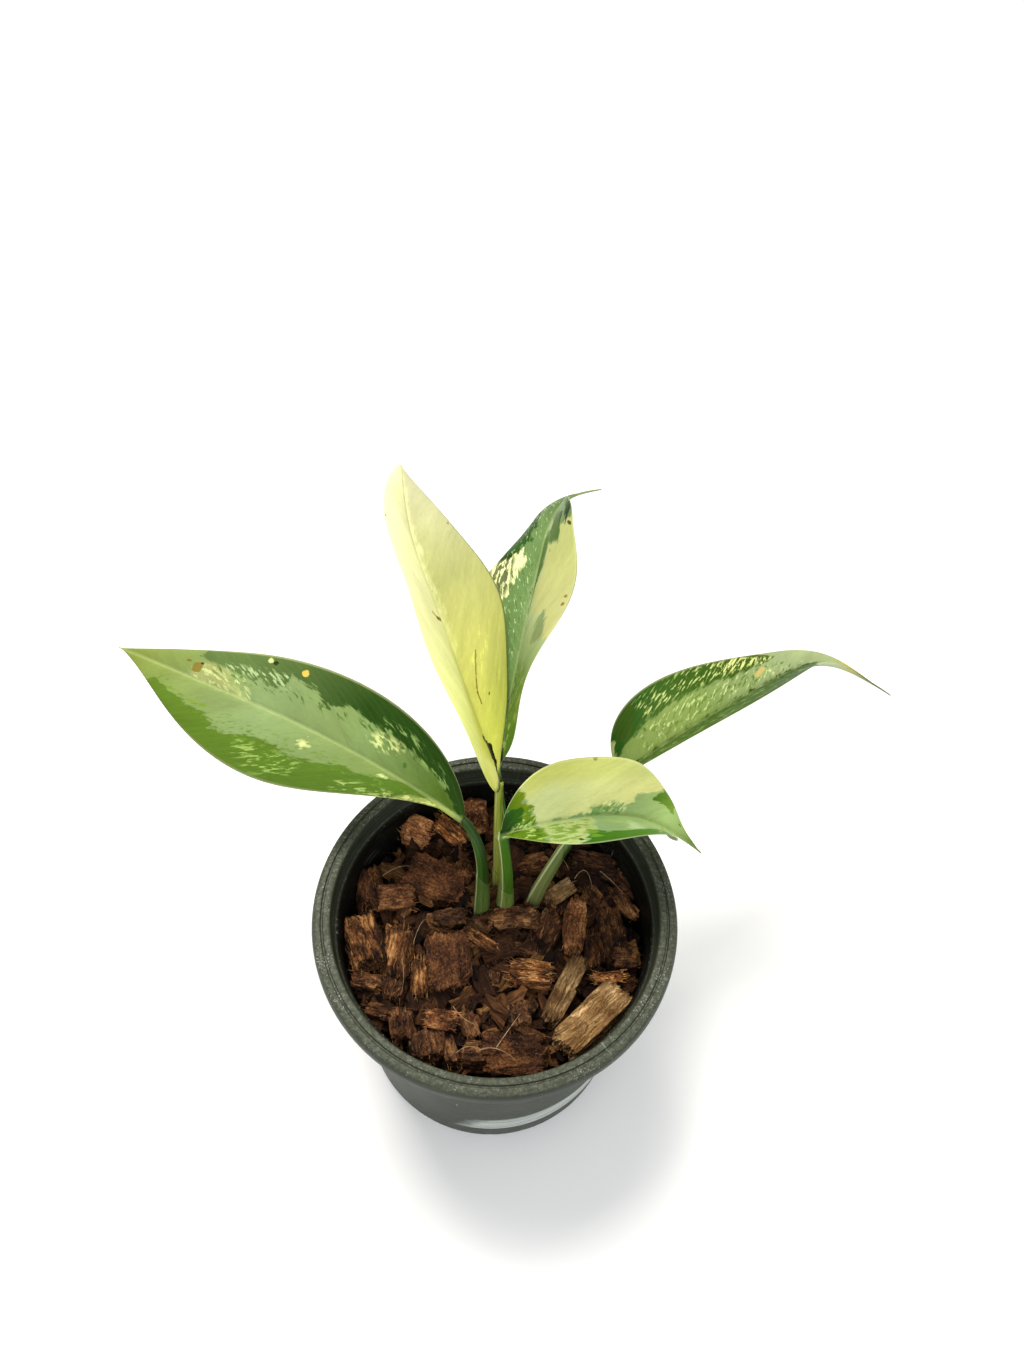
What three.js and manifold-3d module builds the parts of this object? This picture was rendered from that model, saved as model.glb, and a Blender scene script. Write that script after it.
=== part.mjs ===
// A young variegated Chinese evergreen in a round plastic nursery pot, filled with
// chopped coconut husk. Millimetres, +Z up, origin at the centre of the pot's flat base.
import * as THREE from 'three';
import { mergeVertices } from 'three/addons/utils/BufferGeometryUtils.js';
import Module from 'manifold-3d';

const wasm = await Module();
wasm.setup();

// Driving dimensions
const GAP = 0.35;
const ROUND_STEPS = 56;
const SMALLEST_EDGE = 0.02;

const POT = {
  height: 94,
  lipRadius: 60,
  lipThickness: 1.8,
  lipDrop: 5.7,
  flangeThickness: 2.4,
  grooveRadius: 56.6,
  grooveWidth: 0.8,
  grooveDepth: 0.7,
  mouthRadius: 53.9,
  collarRadius: 54.6,
  collarDepth: 7.2,
  ledge: 2,
  baseRadius: 47.9,
  footRound: 1.5,
  wall: 1.5,
  floor: 1.6,
  drainHoles: 8,
  drainRadius: 3.5,
  drainCircle: 36,
};

const BED = { level: 69, lump: 1.6, lumpLength: 9, edge: 4, rings: [46, 38, 30, 22, 14, 6] };

const CHIP = { steps: 2, squareness: 6, jitter: 0.22, thickness: [3.2, 0.55] };

const BLADE = { steps: 28, strips: 8, thickness: 0.7, keel: 1.5, neck: 1.3, point: 0.2, tail: [0.58, 0.88] };

const STALK = { sides: 10, steps: 14 };

// Each half of a blade: widest half width, how slowly it widens from the base and
// narrows to the point, the angle it stands up from the midrib, and how far it curls down.
const half = (width, baseTaper, tipTaper, fold, curl) => ({ width, baseTaper, tipTaper, fold, curl });

// Heading, rise and roll are degrees at the base, the change along the blade and, for
// the first two, an extra turn where the tail begins. Tail is how much it narrows there,
// as a share. Ripple is height, waves and phase.
const LEAVES = {
  left: {
    base: [-12.5, 20.5, 114],
    length: 129,
    heading: [154, 10, 0],
    rise: [19, -21, 5],
    roll: [21, 4],
    tail: 0.05,
    leftSide: half(22.5, 1.85, 1.4, 8, 13),
    rightSide: half(21, 0.7, 1.15, 12, 8),
    ripple: [0.9, 2, -0.15],
  },
  centre: {
    base: [-1, 24.5, 131],
    length: 110,
    heading: [128, -14, -15],
    rise: [60, -41, -15],
    roll: [-35, 4],
    tail: 0,
    leftSide: half(20.5, 0.45, 0.7, 34, 10),
    rightSide: half(21.5, 1.35, 1.25, 32, 9),
    ripple: [-0.7, 2.6, 0.1],
  },
  rear: {
    base: [-2, 31, 131],
    length: 115,
    heading: [77, 5, -25],
    rise: [51, -36, -45],
    roll: [49, -1],
    tail: 0.35,
    leftSide: half(19, 0.85, 1.3, 26, 5),
    rightSide: half(19, 0.9, 0.95, 20, 9),
    ripple: [-4.5, 1.8, 0],
  },
  right: {
    base: [38, 35.5, 123.5],
    length: 116,
    heading: [32, 6, -45],
    rise: [22, -45, -10],
    roll: [24, -4],
    tail: 0.3,
    leftSide: half(21.5, 0.5, 1.7, 30, 10),
    rightSide: half(18.5, 0.7, 1.45, 38, 4),
    ripple: [0.5, 1.8, -0.2],
  },
  front: {
    base: [0, 17.5, 111],
    length: 92,
    heading: [20, 3, -30],
    rise: [7, -80, 20],
    roll: [1, 1],
    tail: 0.35,
    leftSide: half(21, 0.75, 1.35, 41, -1),
    rightSide: half(20.5, 0.9, 1.3, 38, 5),
    ripple: [-2.1, 1.9, 0.6],
  },
};

// Stalks: four points of one smooth curve from inside the husk to the blade, and the
// radius at the foot and at the top.
const STALKS = {
  left: {
    points: [[-5, 8.5, 60], [-5.4, 8.5, 90], [-2.5, 11, 113], [-12.5, 20.5, 114]],
    radius: [2.6, 1.5],
  },
  centre: {
    points: [[0.4, 18, 60], [-0.4, 17.8, 85], [-1, 21, 112], [-1, 24.5, 131]],
    radius: [1.5, 1.3],
  },
  rear: {
    points: [[4.4, 18.2, 60], [3.6, 19.5, 85], [0.6, 25, 112], [-2, 31, 131]],
    radius: [1.5, 1.3],
  },
  front: {
    points: [[2.8, 11.8, 60], [2.8, 11.4, 80], [2.8, 12, 98], [0, 17.5, 111]],
    radius: [3.1, 1.7],
  },
  right: {
    points: [[10.5, 11.5, 60], [13, 12, 82], [23, 20, 110], [38, 35.5, 123.5]],
    radius: [2.5, 1.4],
  },
};

// Husk chips of the top layer: x, y, height of the top, length, width, turn, then the
// tilt along the length and the tilt across it.
const CHIPS = [
  [-29.9, 34.8, 82, 10, 10, -20, 8, -12],
  [-9.9, 39.5, 83, 17, 9.5, -86, -34, 4],
  [-18.4, 38.4, 77, 14, 7, -39, 6, 20],
  [-21.4, 17.5, 80, 21, 14, -24, -3, 6],
  [-34.6, 9.6, 79, 12, 10, 9, 5, 14],
  [-44.5, 14.1, 77, 14, 8.5, -75, 10, -25],
  [-42, -9.4, 84, 18, 14, -64, -8, -10],
  [-31.6, -9.7, 80, 15, 8, -90, 12, 18],
  [-14.7, -12.2, 80, 18, 14, -82, 3, -5],
  [6.6, 4.6, 79, 15, 8.5, 3, -6, 8],
  [12.5, 26, 76, 11, 10, 19, 4, -10],
  [17.9, -0.2, 77, 20, 9, -115, 9, 14],
  [27.1, 2.7, 80, 18, 7, -96, -7, -12],
  [21.9, 16, 78, 10, 6, 42, 12, 22],
  [24, -20, 81, 22, 6, -115, 5, -16],
  [33.6, -30, 82, 26, 11.5, -134, -4, 14],
  [38.9, -14.7, 79, 9, 4, 8, 3, 8],
  [12.6, -15.4, 80, 14, 8, -6, -9, -14],
  [44.8, -6.8, 78, 9, 8, 8, 6, 10],
  [40.4, 2.4, 78, 18, 8, -82, -12, 9],
  [44.4, 13, 77, 11, 5, -45, 14, 12],
  [-15.5, -32.3, 81, 9, 6, -3, 8, 16],
  [-18.7, -40.5, 79, 9, 11, -79, -16, 6],
  [8.5, -41, 80, 19, 12, 5, 4, 15],
  [-6.2, -33, 79, 7, 5, -63, 14, -12],
  [9.7, -29.4, 79, 9, 7, -84, -18, 5],
  [-3.1, -4.2, 78, 11, 4, -26, 12, 20],
  [-27.4, -34, 78, 10, 7, -80, 9, 24],
  [-36, -29.4, 76, 9, 5, -10, -8, 12],
  [-41.4, -21, 78, 10, 6, -9, 10, -16],
  [-31.6, -21.3, 77, 10, 7, -95, -12, 10],
  [-24.1, -17.5, 78, 12, 5, -84, 14, -14],
  [0.4, -16.6, 76, 9, 6, -82, 20, 10],
  [44.6, -16.6, 76, 7, 6, 3, -10, 12],
  [-4.2, -42.3, 78, 9, 7, 3, 6, -18],
  [34.9, 28.4, 75, 18, 10, -13, -6, 14],
  [33, -3.6, 76, 11, 7, -80, 14, -20],
  [43.4, 22.6, 75, 12, 6, -65, -12, 6],
  [-6.4, 1.6, 76, 9, 6, -25, 8, -18],
  [-16.6, 4.1, 77, 11, 5.5, 16, 10, 12],
  [-12.7, 25.4, 76, 12, 5, -63, -14, 16],
  [9.6, -6.4, 76, 12, 5, -5, 12, -12],
  [-11.7, -41.3, 78, 9, 4.5, -68, -14, 10],
  [23.6, -9.6, 75, 8, 6, -50, 12, 14],
  [33.8, 15.6, 76, 10, 5, -62, -16, -12],
];

const MATERIALS = {
  pot: { color: 0x4a504b, roughness: 0.5 },
  bed: { color: 0x3a2415, roughness: 0.95 },
  chip: { color: 0x8a5a35, roughness: 0.9 },
  stalk: { color: 0x4a7a2a, roughness: 0.45 },
  blade: { color: 0x5f8a3c, roughness: 0.4 },
};

const radians = THREE.MathUtils.degToRad;

// A closed geometry as a solid for joins and cuts.
function solidOf(geometry) {
  geometry.deleteAttribute('normal');
  geometry.deleteAttribute('uv');
  const merged = mergeVertices(geometry, 1e-4);
  return new wasm.Manifold(new wasm.Mesh({
    numProp: 3,
    vertProperties: merged.attributes.position.array,
    triVerts: Uint32Array.from(merged.index.array),
  }));
}

// A cut can leave loose crumbs: the piece is the largest of its bodies.
function largest(solid) {
  const bodies = solid.decompose();
  return bodies.reduce((best, body) => (body.volume() > best.volume() ? body : best));
}

function meshOf(name, solid, look) {
  const { vertProperties, triVerts } = largest(solid).simplify(SMALLEST_EDGE).getMesh();
  const geometry = new THREE.BufferGeometry();
  geometry.setAttribute('position', new THREE.BufferAttribute(vertProperties, 3));
  geometry.setIndex(new THREE.BufferAttribute(triVerts, 1));
  geometry.computeVertexNormals();
  const material = new THREE.MeshStandardMaterial({ ...MATERIALS[look], metalness: 0 });
  const mesh = new THREE.Mesh(geometry, material);
  mesh.name = name;
  return mesh;
}

// Moves every vertex of a geometry through one function of its place.
function bend(geometry, move) {
  const place = geometry.attributes.position;
  const point = new THREE.Vector3();
  for (let i = 0; i < place.count; i += 1) {
    point.fromBufferAttribute(place, i);
    move(point);
    place.setXYZ(i, point.x, point.y, point.z);
  }
  return geometry;
}

function turned(profile) {
  const points = profile.map(([radius, height]) => new THREE.Vector2(radius, height));
  return new THREE.LatheGeometry(points, ROUND_STEPS).rotateX(Math.PI / 2);
}

// A repeatable shake between -0.5 and 0.5 for one piece and one corner.
function shake(piece, corner) {
  const wave = Math.sin(piece * 127.1 + corner * 311.7) * 43758.5453;
  return wave - Math.floor(wave) - 0.5;
}

// Radius of the inside of the pot's wall at a height.
function innerRadius(height) {
  const foot = POT.baseRadius - POT.wall;
  const head = POT.mouthRadius - POT.ledge;
  return foot + (head - foot) * (height / (POT.height - POT.collarDepth));
}

// Pot: tapered wall, collar, flange with two rings and a groove, and a turned-down lip.
function potSolid() {
  const top = POT.height;
  const ledge = top - POT.collarDepth;
  const lipFoot = top - POT.lipDrop;
  const flange = top - POT.flangeThickness;
  const lipInside = POT.lipRadius - POT.lipThickness;
  const outside = [
    [0, 0], [POT.baseRadius - POT.footRound, 0], [POT.baseRadius, POT.footRound],
    [innerRadius(ledge) + POT.wall, ledge - 3.5], [POT.collarRadius, ledge - 2],
    [POT.collarRadius, flange], [lipInside, flange], [lipInside, lipFoot],
    [POT.lipRadius - 0.3, lipFoot], [POT.lipRadius, lipFoot + 0.6],
    [POT.lipRadius, flange], [POT.lipRadius - 0.7, top - 0.8], [POT.lipRadius - 2.4, top],
  ];
  const bottom = top - POT.grooveDepth;
  const edge = POT.grooveWidth / 2;
  const groove = [
    [POT.grooveRadius + edge, top], [POT.grooveRadius + edge / 2, bottom],
    [POT.grooveRadius - edge / 2, bottom], [POT.grooveRadius - edge, top],
  ];
  const inside = [
    [POT.mouthRadius + 0.9, top], [POT.mouthRadius, top - 0.6], [POT.mouthRadius - 0.8, ledge],
    [innerRadius(ledge), ledge - 0.6], [innerRadius(4), 4],
    [innerRadius(0) - POT.ledge, POT.floor], [0, POT.floor],
  ];
  let pot = solidOf(turned([...outside, ...groove, ...inside]));
  for (let i = 0; i < POT.drainHoles; i += 1) {
    const angle = (i / POT.drainHoles) * 2 * Math.PI;
    const hole = new THREE.CylinderGeometry(POT.drainRadius, POT.drainRadius, 3 * POT.floor, 14);
    hole.rotateX(Math.PI / 2);
    hole.translate(POT.drainCircle * Math.cos(angle), POT.drainCircle * Math.sin(angle), POT.floor / 2);
    pot = pot.subtract(solidOf(hole));
  }
  return pot;
}

// Everything inside the pot stays within this space.
function potSpace() {
  const low = POT.floor + GAP;
  const high = POT.height - POT.collarDepth - 1;
  return solidOf(turned([
    [0, low], [innerRadius(low) - POT.ledge - GAP, low], [innerRadius(5) - GAP, 5],
    [innerRadius(high) - GAP, high], [0, high],
  ]));
}

// Husk bed: fills the pot up to an uneven surface.
function bedSolid() {
  const low = POT.floor + GAP;
  const profile = [
    [0, low], [innerRadius(low) - POT.ledge - GAP, low], [innerRadius(5) - GAP, 5],
    [innerRadius(BED.level - BED.edge) - GAP, BED.level - BED.edge],
    ...BED.rings.map((radius) => [radius, BED.level]), [0, BED.level],
  ];
  return solidOf(bend(turned(profile), (point) => {
    if (point.z < BED.level - 1) return;
    const across = Math.sin(point.x / BED.lumpLength * 2.3 + Math.sin(point.y / BED.lumpLength));
    point.z += BED.lump * across * Math.cos(point.y / BED.lumpLength * 2.1);
  }));
}

// Husk chip: a block with pulled-in corners, shaken so that no two are alike.
function chipSolid(index, grow) {
  const [x, y, top, length, width, turn, pitch, bank] = CHIPS[index];
  const thickness = CHIP.thickness[0] + CHIP.thickness[1] * width;
  const size = [length, width, thickness];
  const block = bend(new THREE.BoxGeometry(2, 2, 2, CHIP.steps, CHIP.steps, CHIP.steps), (point) => {
    const corner = 9 * Math.round(point.x + 1) + 3 * Math.round(point.y + 1) + Math.round(point.z + 1);
    const power = CHIP.squareness;
    const sum = point.toArray().reduce((total, value) => total + Math.abs(value) ** power, 0);
    const reach = sum ** (-1 / power);
    point.toArray().forEach((value, axis) => {
      const uneven = 1 + CHIP.jitter * shake(index + 1, 3 * corner + axis);
      point.setComponent(axis, value * reach * (size[axis] / 2 * uneven + grow));
    });
  });
  block.rotateX(radians(bank)).rotateY(radians(pitch)).rotateZ(radians(turn));
  return solidOf(block.translate(x, y, top - thickness / 2));
}

// How far a place along the blade is into its tail, from 0 to 1.
const intoTail = (along) => THREE.MathUtils.smoothstep(along, ...BLADE.tail);

// How wide a half is at a place along the blade, as a share of its widest.
function spread(side, along, tail) {
  const { baseTaper, tipTaper } = side;
  const peak = baseTaper / (baseTaper + tipTaper);
  const most = peak ** baseTaper * (1 - peak) ** tipTaper;
  return ((along ** baseTaper * (1 - along) ** tipTaper) / most) * (1 - tail * intoTail(along));
}

// The midrib of a blade, step by step: place, direction, right-hand side and upper side.
function midrib(leaf) {
  const frames = [];
  const place = new THREE.Vector3(...leaf.base);
  for (let step = 0; step <= BLADE.steps; step += 1) {
    const at = (along) => {
      const angleOf = ([start, change, extra]) => radians(start + change * along + extra * intoTail(along));
      const [heading, rise] = [angleOf(leaf.heading), angleOf(leaf.rise)];
      const roll = radians(leaf.roll[0] + leaf.roll[1] * along);
      const forward = new THREE.Vector3(
        Math.cos(rise) * Math.cos(heading), Math.cos(rise) * Math.sin(heading), Math.sin(rise));
      const right = new THREE.Vector3(Math.sin(heading), -Math.cos(heading), 0);
      right.applyAxisAngle(forward, -roll);
      return { forward, right, up: new THREE.Vector3().crossVectors(right, forward) };
    };
    frames.push({ place: place.clone(), ...at(step / BLADE.steps) });
    place.addScaledVector(at((step + 0.5) / BLADE.steps).forward, leaf.length / BLADE.steps);
  }
  return frames;
}

// Blade: a thin slab carried along the midrib, folded and curled at each side of it,
// with a keel under the midrib.
function bladeSolid(leaf, grow) {
  const frames = midrib(leaf);
  const slab = new THREE.BoxGeometry(1, 2, 2, BLADE.steps, BLADE.strips, 1);
  return solidOf(bend(slab, (point) => {
    const step = Math.round((point.x + 0.5) * BLADE.steps);
    const along = step / BLADE.steps;
    const across = -point.y;
    const side = across > 0 ? leaf.rightSide : leaf.leftSide;
    const share = spread(side, along, leaf.tail);
    const least = BLADE.neck * (1 - along) + BLADE.point * along;
    const width = (Math.max(side.width * share, least) + grow) * across;
    const angle = radians(side.fold - side.curl * Math.abs(across));
    const [height, waves, phase] = leaf.ripple;
    const wave = Math.sin(2 * Math.PI * (waves * along + phase + (across > 0 ? 0.3 : 0)));
    let lift = Math.abs(width) * Math.sin(angle) + height * across ** 2 * wave * share;
    lift += point.z * (BLADE.thickness / 2 + grow);
    if (point.z < 0) lift -= BLADE.keel * (1 - along) * Math.max(0, 1 - 4 * Math.abs(across));
    const frame = frames[step];
    point.copy(frame.place);
    point.addScaledVector(frame.right, width * Math.cos(angle));
    point.addScaledVector(frame.up, lift);
  }));
}

// Stalk: a tapering round stem along its curve.
function stalkSolid(stalk, grow) {
  const curve = new THREE.CubicBezierCurve3(...stalk.points.map((point) => new THREE.Vector3(...point)));
  const stem = new THREE.CylinderGeometry(1, 1, 1, STALK.sides, STALK.steps);
  return solidOf(bend(stem, (point) => {
    const along = point.y + 0.5;
    const radius = stalk.radius[0] + (stalk.radius[1] - stalk.radius[0]) * along + grow;
    const forward = curve.getTangent(along);
    const first = new THREE.Vector3(1, 0, 0).addScaledVector(forward, -forward.x).normalize();
    const second = new THREE.Vector3().crossVectors(first, forward);
    const { x, z } = point;
    curve.getPoint(along, point);
    point.addScaledVector(first, x * radius).addScaledVector(second, z * radius);
  }));
}

const plant = new THREE.Group();
plant.add(meshOf('pot', potSolid(), 'pot'));

// Blades first, then the stalks that end just short of them and of each other.
let taken = wasm.Manifold.compose([]);
for (const [name, leaf] of Object.entries(LEAVES)) {
  plant.add(meshOf(`leaf_${name}`, bladeSolid(leaf, 0), 'blade'));
  taken = taken.add(bladeSolid(leaf, GAP));
}
for (const [name, stalk] of Object.entries(STALKS)) {
  plant.add(meshOf(`stalk_${name}`, stalkSolid(stalk, 0).subtract(taken), 'stalk'));
  taken = taken.add(stalkSolid(stalk, GAP));
}

// Each chip lies against the stalks and the chips before it, and the bed fills the rest.
const space = potSpace();
CHIPS.forEach((row, index) => {
  const chip = chipSolid(index, 0).subtract(taken).intersect(space);
  plant.add(meshOf(`chip_${String(index + 1).padStart(2, '0')}`, chip, 'chip'));
  taken = taken.add(chipSolid(index, GAP));
});
plant.add(meshOf('husk_bed', bedSolid().subtract(taken), 'bed'));

export default plant;
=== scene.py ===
"""Looks of the potted variegated suvarnabhumi Chinese evergreen.

The file goes as the plant is put together: camera, floor and lights, then the nursery pot,
the chopped husk in it, the five leaf stalks and the five blades.
All sizes are in millimetres until a mesh is made.
"""

import bmesh
import bpy
import numpy as np
from mathutils import Matrix, Vector


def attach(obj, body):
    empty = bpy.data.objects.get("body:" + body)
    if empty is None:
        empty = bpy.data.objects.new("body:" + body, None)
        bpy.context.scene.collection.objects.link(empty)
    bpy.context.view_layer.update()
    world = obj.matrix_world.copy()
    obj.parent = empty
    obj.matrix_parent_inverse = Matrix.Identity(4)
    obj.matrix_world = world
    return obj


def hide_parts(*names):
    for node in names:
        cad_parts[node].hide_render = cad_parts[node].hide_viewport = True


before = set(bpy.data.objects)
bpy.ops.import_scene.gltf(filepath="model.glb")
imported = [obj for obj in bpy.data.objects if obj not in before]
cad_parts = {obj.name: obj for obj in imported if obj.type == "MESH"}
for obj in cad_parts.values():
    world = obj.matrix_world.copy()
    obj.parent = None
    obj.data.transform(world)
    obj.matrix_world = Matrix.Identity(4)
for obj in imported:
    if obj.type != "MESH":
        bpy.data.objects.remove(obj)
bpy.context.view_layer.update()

# Camera
# A telephone held above the front of the pot, at arm's length, looking down at the husk.
CAMERA_PLACE = (1.128, -143.454, 406.271)
CAMERA_TILT = 37.13
CAMERA_ROLL = 3.23
CAMERA_ANGLE = 67.3
MM = 0.001

camera = bpy.data.objects.new("camera", bpy.data.cameras.new("camera"))
bpy.context.scene.collection.objects.link(camera)
camera.data.angle = np.radians(CAMERA_ANGLE)
camera.matrix_world = (
    Matrix.Translation(Vector(CAMERA_PLACE) * MM)
    @ Matrix.Rotation(np.radians(CAMERA_TILT), 4, "X")
    @ Matrix.Rotation(np.radians(CAMERA_ROLL), 4, "Z")
)
bpy.context.scene.camera = camera


# Floor and lights
# A matt white floor, one wide soft lamp high up behind the left of the pot, a wider and weaker
# one in front, and pale light from all round. The colours are shown as they are, so the floor
# comes out white.
FLOOR_SIZE = 6000
FLOOR_DROP = 0.2
FLOOR_COLOURS = ("#f2f2f0", "#f7f7f6")
ROOM_COLOUR = "#fffefb"
ROOM_LIGHT = 0.66
LAMPS = {
    "window": {"place": (-350, 550, 1600), "size": 650, "watts": 30, "colour": "#fffaf2"},
    "fill": {"place": (300, -1300, 1100), "size": 1400, "watts": 13, "colour": "#eef3ff"},
}
LAMPS_AIM_AT = Vector((0, 0, 80)) * MM


def linear(hex_colour):
    """The red, green, blue and alpha of a hex colour in linear light, from the sRGB curve."""
    channels = np.array([int(hex_colour[i : i + 2], 16) for i in (1, 3, 5)]) / 255
    light = np.where(channels < 0.04045, channels / 12.92, ((channels + 0.055) / 1.055) ** 2.4)
    return (*light.tolist(), 1.0)


def node(tree, kind, inputs=None, output=0, stops=(), **settings):
    """Adds a shader node with its settings, sets or links its inputs, returns one output.

    An input's text is a hex colour. Stops are the (place, hex colour) pairs of a colour ramp,
    its two ends first.
    """
    made = tree.nodes.new("ShaderNode" + kind)
    for name, value in settings.items():
        setattr(made, name, value)
    for key, value in (inputs or {}).items():
        if isinstance(value, bpy.types.NodeSocket):
            tree.links.new(value, made.inputs[key])
        else:
            made.inputs[key].default_value = linear(value) if isinstance(value, str) else value
    for number, (place, colour) in enumerate(stops):
        ramp = made.color_ramp.elements
        stop = ramp[number] if number < 2 else ramp.new(place)
        stop.position = place
        stop.color = linear(colour)
    return made.outputs[output]


def finish_of(name, **constants):
    """A new material, its node tree and its main shader, with the constants given set on it."""
    made = bpy.data.materials.new(name)
    made.use_nodes = True
    shader = made.node_tree.nodes["Principled BSDF"]
    for socket, value in constants.items():
        shader.inputs[socket.replace("_", " ")].default_value = value
    return made, made.node_tree, shader.inputs


def make_piece(name, points, faces, material):
    """A smooth mesh object from points in millimetres and lists of corner numbers."""
    mesh = bpy.data.meshes.new(name)
    mesh.from_pydata((np.asarray(points) * MM).tolist(), [], faces)
    mesh.materials.append(material)
    mesh.shade_smooth()
    piece = bpy.data.objects.new(name, mesh)
    bpy.context.scene.collection.objects.link(piece)
    return piece


# Matt painted board: nearly white, with a very faint broad unevenness and no gloss.
board, tree, shader = finish_of("matt_white_board", Roughness=0.9)
where = node(tree, "TexCoord", output="Object")
uneven = node(tree, "TexNoise", {"Vector": where, "Scale": 3.0, "Detail": 3.0})
tint = node(
    tree, "ValToRGB", {"Fac": uneven}, stops=[(0.3, FLOOR_COLOURS[0]), (0.7, FLOOR_COLOURS[1])]
)
tree.links.new(tint, shader["Base Color"])
corners = np.array([(-1, -1), (1, -1), (1, 1), (-1, 1)]) * FLOOR_SIZE / 2
floor_points = np.column_stack([corners, np.full(len(corners), -FLOOR_DROP)])
floor = make_piece("floor", floor_points, [(0, 1, 2, 3)], board)

room = bpy.data.worlds.new("room")
bpy.context.scene.world = room
room.use_nodes = True
backdrop = room.node_tree.nodes["Background"].inputs
backdrop["Color"].default_value = linear(ROOM_COLOUR)
backdrop["Strength"].default_value = ROOM_LIGHT
for name, lamp in LAMPS.items():
    light = bpy.data.lights.new(name, "AREA")
    light.energy = lamp["watts"]
    light.size = lamp["size"] * MM
    light.color = linear(lamp["colour"])[:3]
    holder = bpy.data.objects.new(name, light)
    bpy.context.scene.collection.objects.link(holder)
    place = Vector(lamp["place"]) * MM
    turn = (LAMPS_AIM_AT - place).to_track_quat("-Z", "Y")
    holder.matrix_world = Matrix.Translation(place) @ turn.to_matrix().to_4x4()
bpy.context.scene.view_settings.view_transform = "Standard"


# Nursery pot
# One injection moulding in recycled polypropylene: a tapered wall, a thick rolled lip with a
# groove between its two rings, a ledge inside for stacking, and a flat base with drain holes.

# The base radius is the inner one, and the slope is how much the radius grows as the wall
# rises. The drill goes between two heights, and the smoother band with the painted floor
# reflection lies between two others.
POT_STEPS = 192
FILLET_STEPS = 4
LIP = 94
BASE_RADIUS = 46.4
MEAN_RADIUS = 50.0
WALL = 1.5
FLOOR_THICKNESS = 1.6
WALL_SLOPE = 5.5 / 86.8
DRAIN_HOLES = 8
DRAIN_RADIUS = 3.5
DRAIN_CIRCLE = 36
DRILL_ENDS = (-2, 4)
DRILL_STEPS = 24
REFLECTION_BAND = (13, 28)
# Each set of scratches: the turn of the threads, and how fast they change in x, y and z.
SCRATCHES = [((0.4, 0.2, 0.5), (0.07, 1.6, 0.07)), ((-0.6, 0.9, 0), (0.06, 0.06, 1.9))]
# Radius, height and the radius of the rounding at each corner, from the middle of the
# underside, up the outside, over the lip and down the inside.
POT_PROFILE = [
    (20, 0, 0),
    (44, 0, 0),
    (BASE_RADIUS + WALL, 0, 1.5),
    (BASE_RADIUS + WALL + REFLECTION_BAND[0] * WALL_SLOPE, REFLECTION_BAND[0], 0),
    (BASE_RADIUS + WALL + REFLECTION_BAND[1] * WALL_SLOPE, REFLECTION_BAND[1], 0),
    (BASE_RADIUS + WALL + 56 * WALL_SLOPE, 56, 0),
    (53.2, 83.3, 2),
    (54.6, 85, 1),
    (54.6, 91.4, 0.8),
    (58.1, 91.6, 0.5),
    (58.1, 88.3, 0.3),
    (60, 88.3, 0.7),
    (60, 91.8, 1.5),
    (59.2, LIP, 1.8),
    (57.05, LIP, 0.3),
    (56.85, 93.3, 0.1),
    (56.35, 93.3, 0.1),
    (56.15, LIP, 0.3),
    (54, LIP, 0.7),
    (53.6, 92, 1),
    (53.1, 87, 0.8),
    (51.9, 86.2, 0.5),
    (BASE_RADIUS + 56 * WALL_SLOPE, 56, 0),
    (BASE_RADIUS + 20 * WALL_SLOPE, 20, 0),
    (BASE_RADIUS, FLOOR_THICKNESS, 2.4),
    (20, FLOOR_THICKNESS, 0),
]


def rounded(profile, steps):
    """The profile with each corner replaced by a parabola that leaves its two sides at the
    corner's rounding, or at 45% of the shorter side if that is less."""
    corners = np.array([row[:2] for row in profile], float)
    cuts = np.array([row[2] for row in profile], float)
    sides = np.diff(corners, axis=0)
    lengths = np.linalg.norm(sides, axis=1)
    room_left = 0.45 * np.minimum(np.append(lengths, 1e9), np.insert(lengths, 0, 1e9))
    cuts = np.minimum(cuts, room_left)[:, None]
    ahead = np.vstack([sides / lengths[:, None], [[0, 0]]])
    behind = np.vstack([[[0, 0]], sides / lengths[:, None]])
    start = (corners - behind * cuts)[:, None]
    end = (corners + ahead * cuts)[:, None]
    along = np.linspace(0, 1, steps)[None, :, None]
    curve = (1 - along) ** 2 * start + 2 * along * (1 - along) * corners[:, None] + along**2 * end
    curve = curve.reshape(-1, 2)
    moved = np.linalg.norm(np.diff(curve, axis=0), axis=1) > 1e-4
    return curve[np.insert(moved, 0, True)]


def skin(rings):
    """A closed skin over a stack of closed rings: four-cornered faces between neighbouring
    rings, and a fan of triangles from each end ring to its middle."""
    count, around = rings.shape[:2]
    middles = rings[[0, -1]].mean(axis=1)
    points = np.concatenate([rings.reshape(-1, 3), middles])
    step = np.arange(around)
    after = (step + 1) % around
    start = np.arange(count - 1)[:, None] * around
    above = start + around
    walls = np.stack([start + step, start + after, above + after, above + step], -1)
    top = (count - 1) * around
    first = np.stack([after, step, np.full(around, count * around)], -1)
    last = np.stack([top + step, top + after, np.full(around, count * around + 1)], -1)
    return points, walls.reshape(-1, 4).tolist() + first.tolist() + last.tolist()


def joined(parts):
    """Several (points, faces) parts as one."""
    points, faces, used = [], [], 0
    for part_points, part_faces in parts:
        points.append(part_points)
        faces += [[corner + used for corner in face] for face in part_faces]
        used += len(part_points)
    return np.concatenate(points), faces


def face_outwards(piece):
    """Turns the faces of closed shells so that all of them point out."""
    shape = bmesh.new()
    shape.from_mesh(piece.data)
    bmesh.ops.recalc_face_normals(shape, faces=shape.faces)
    shape.to_mesh(piece.data)
    shape.free()


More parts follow.
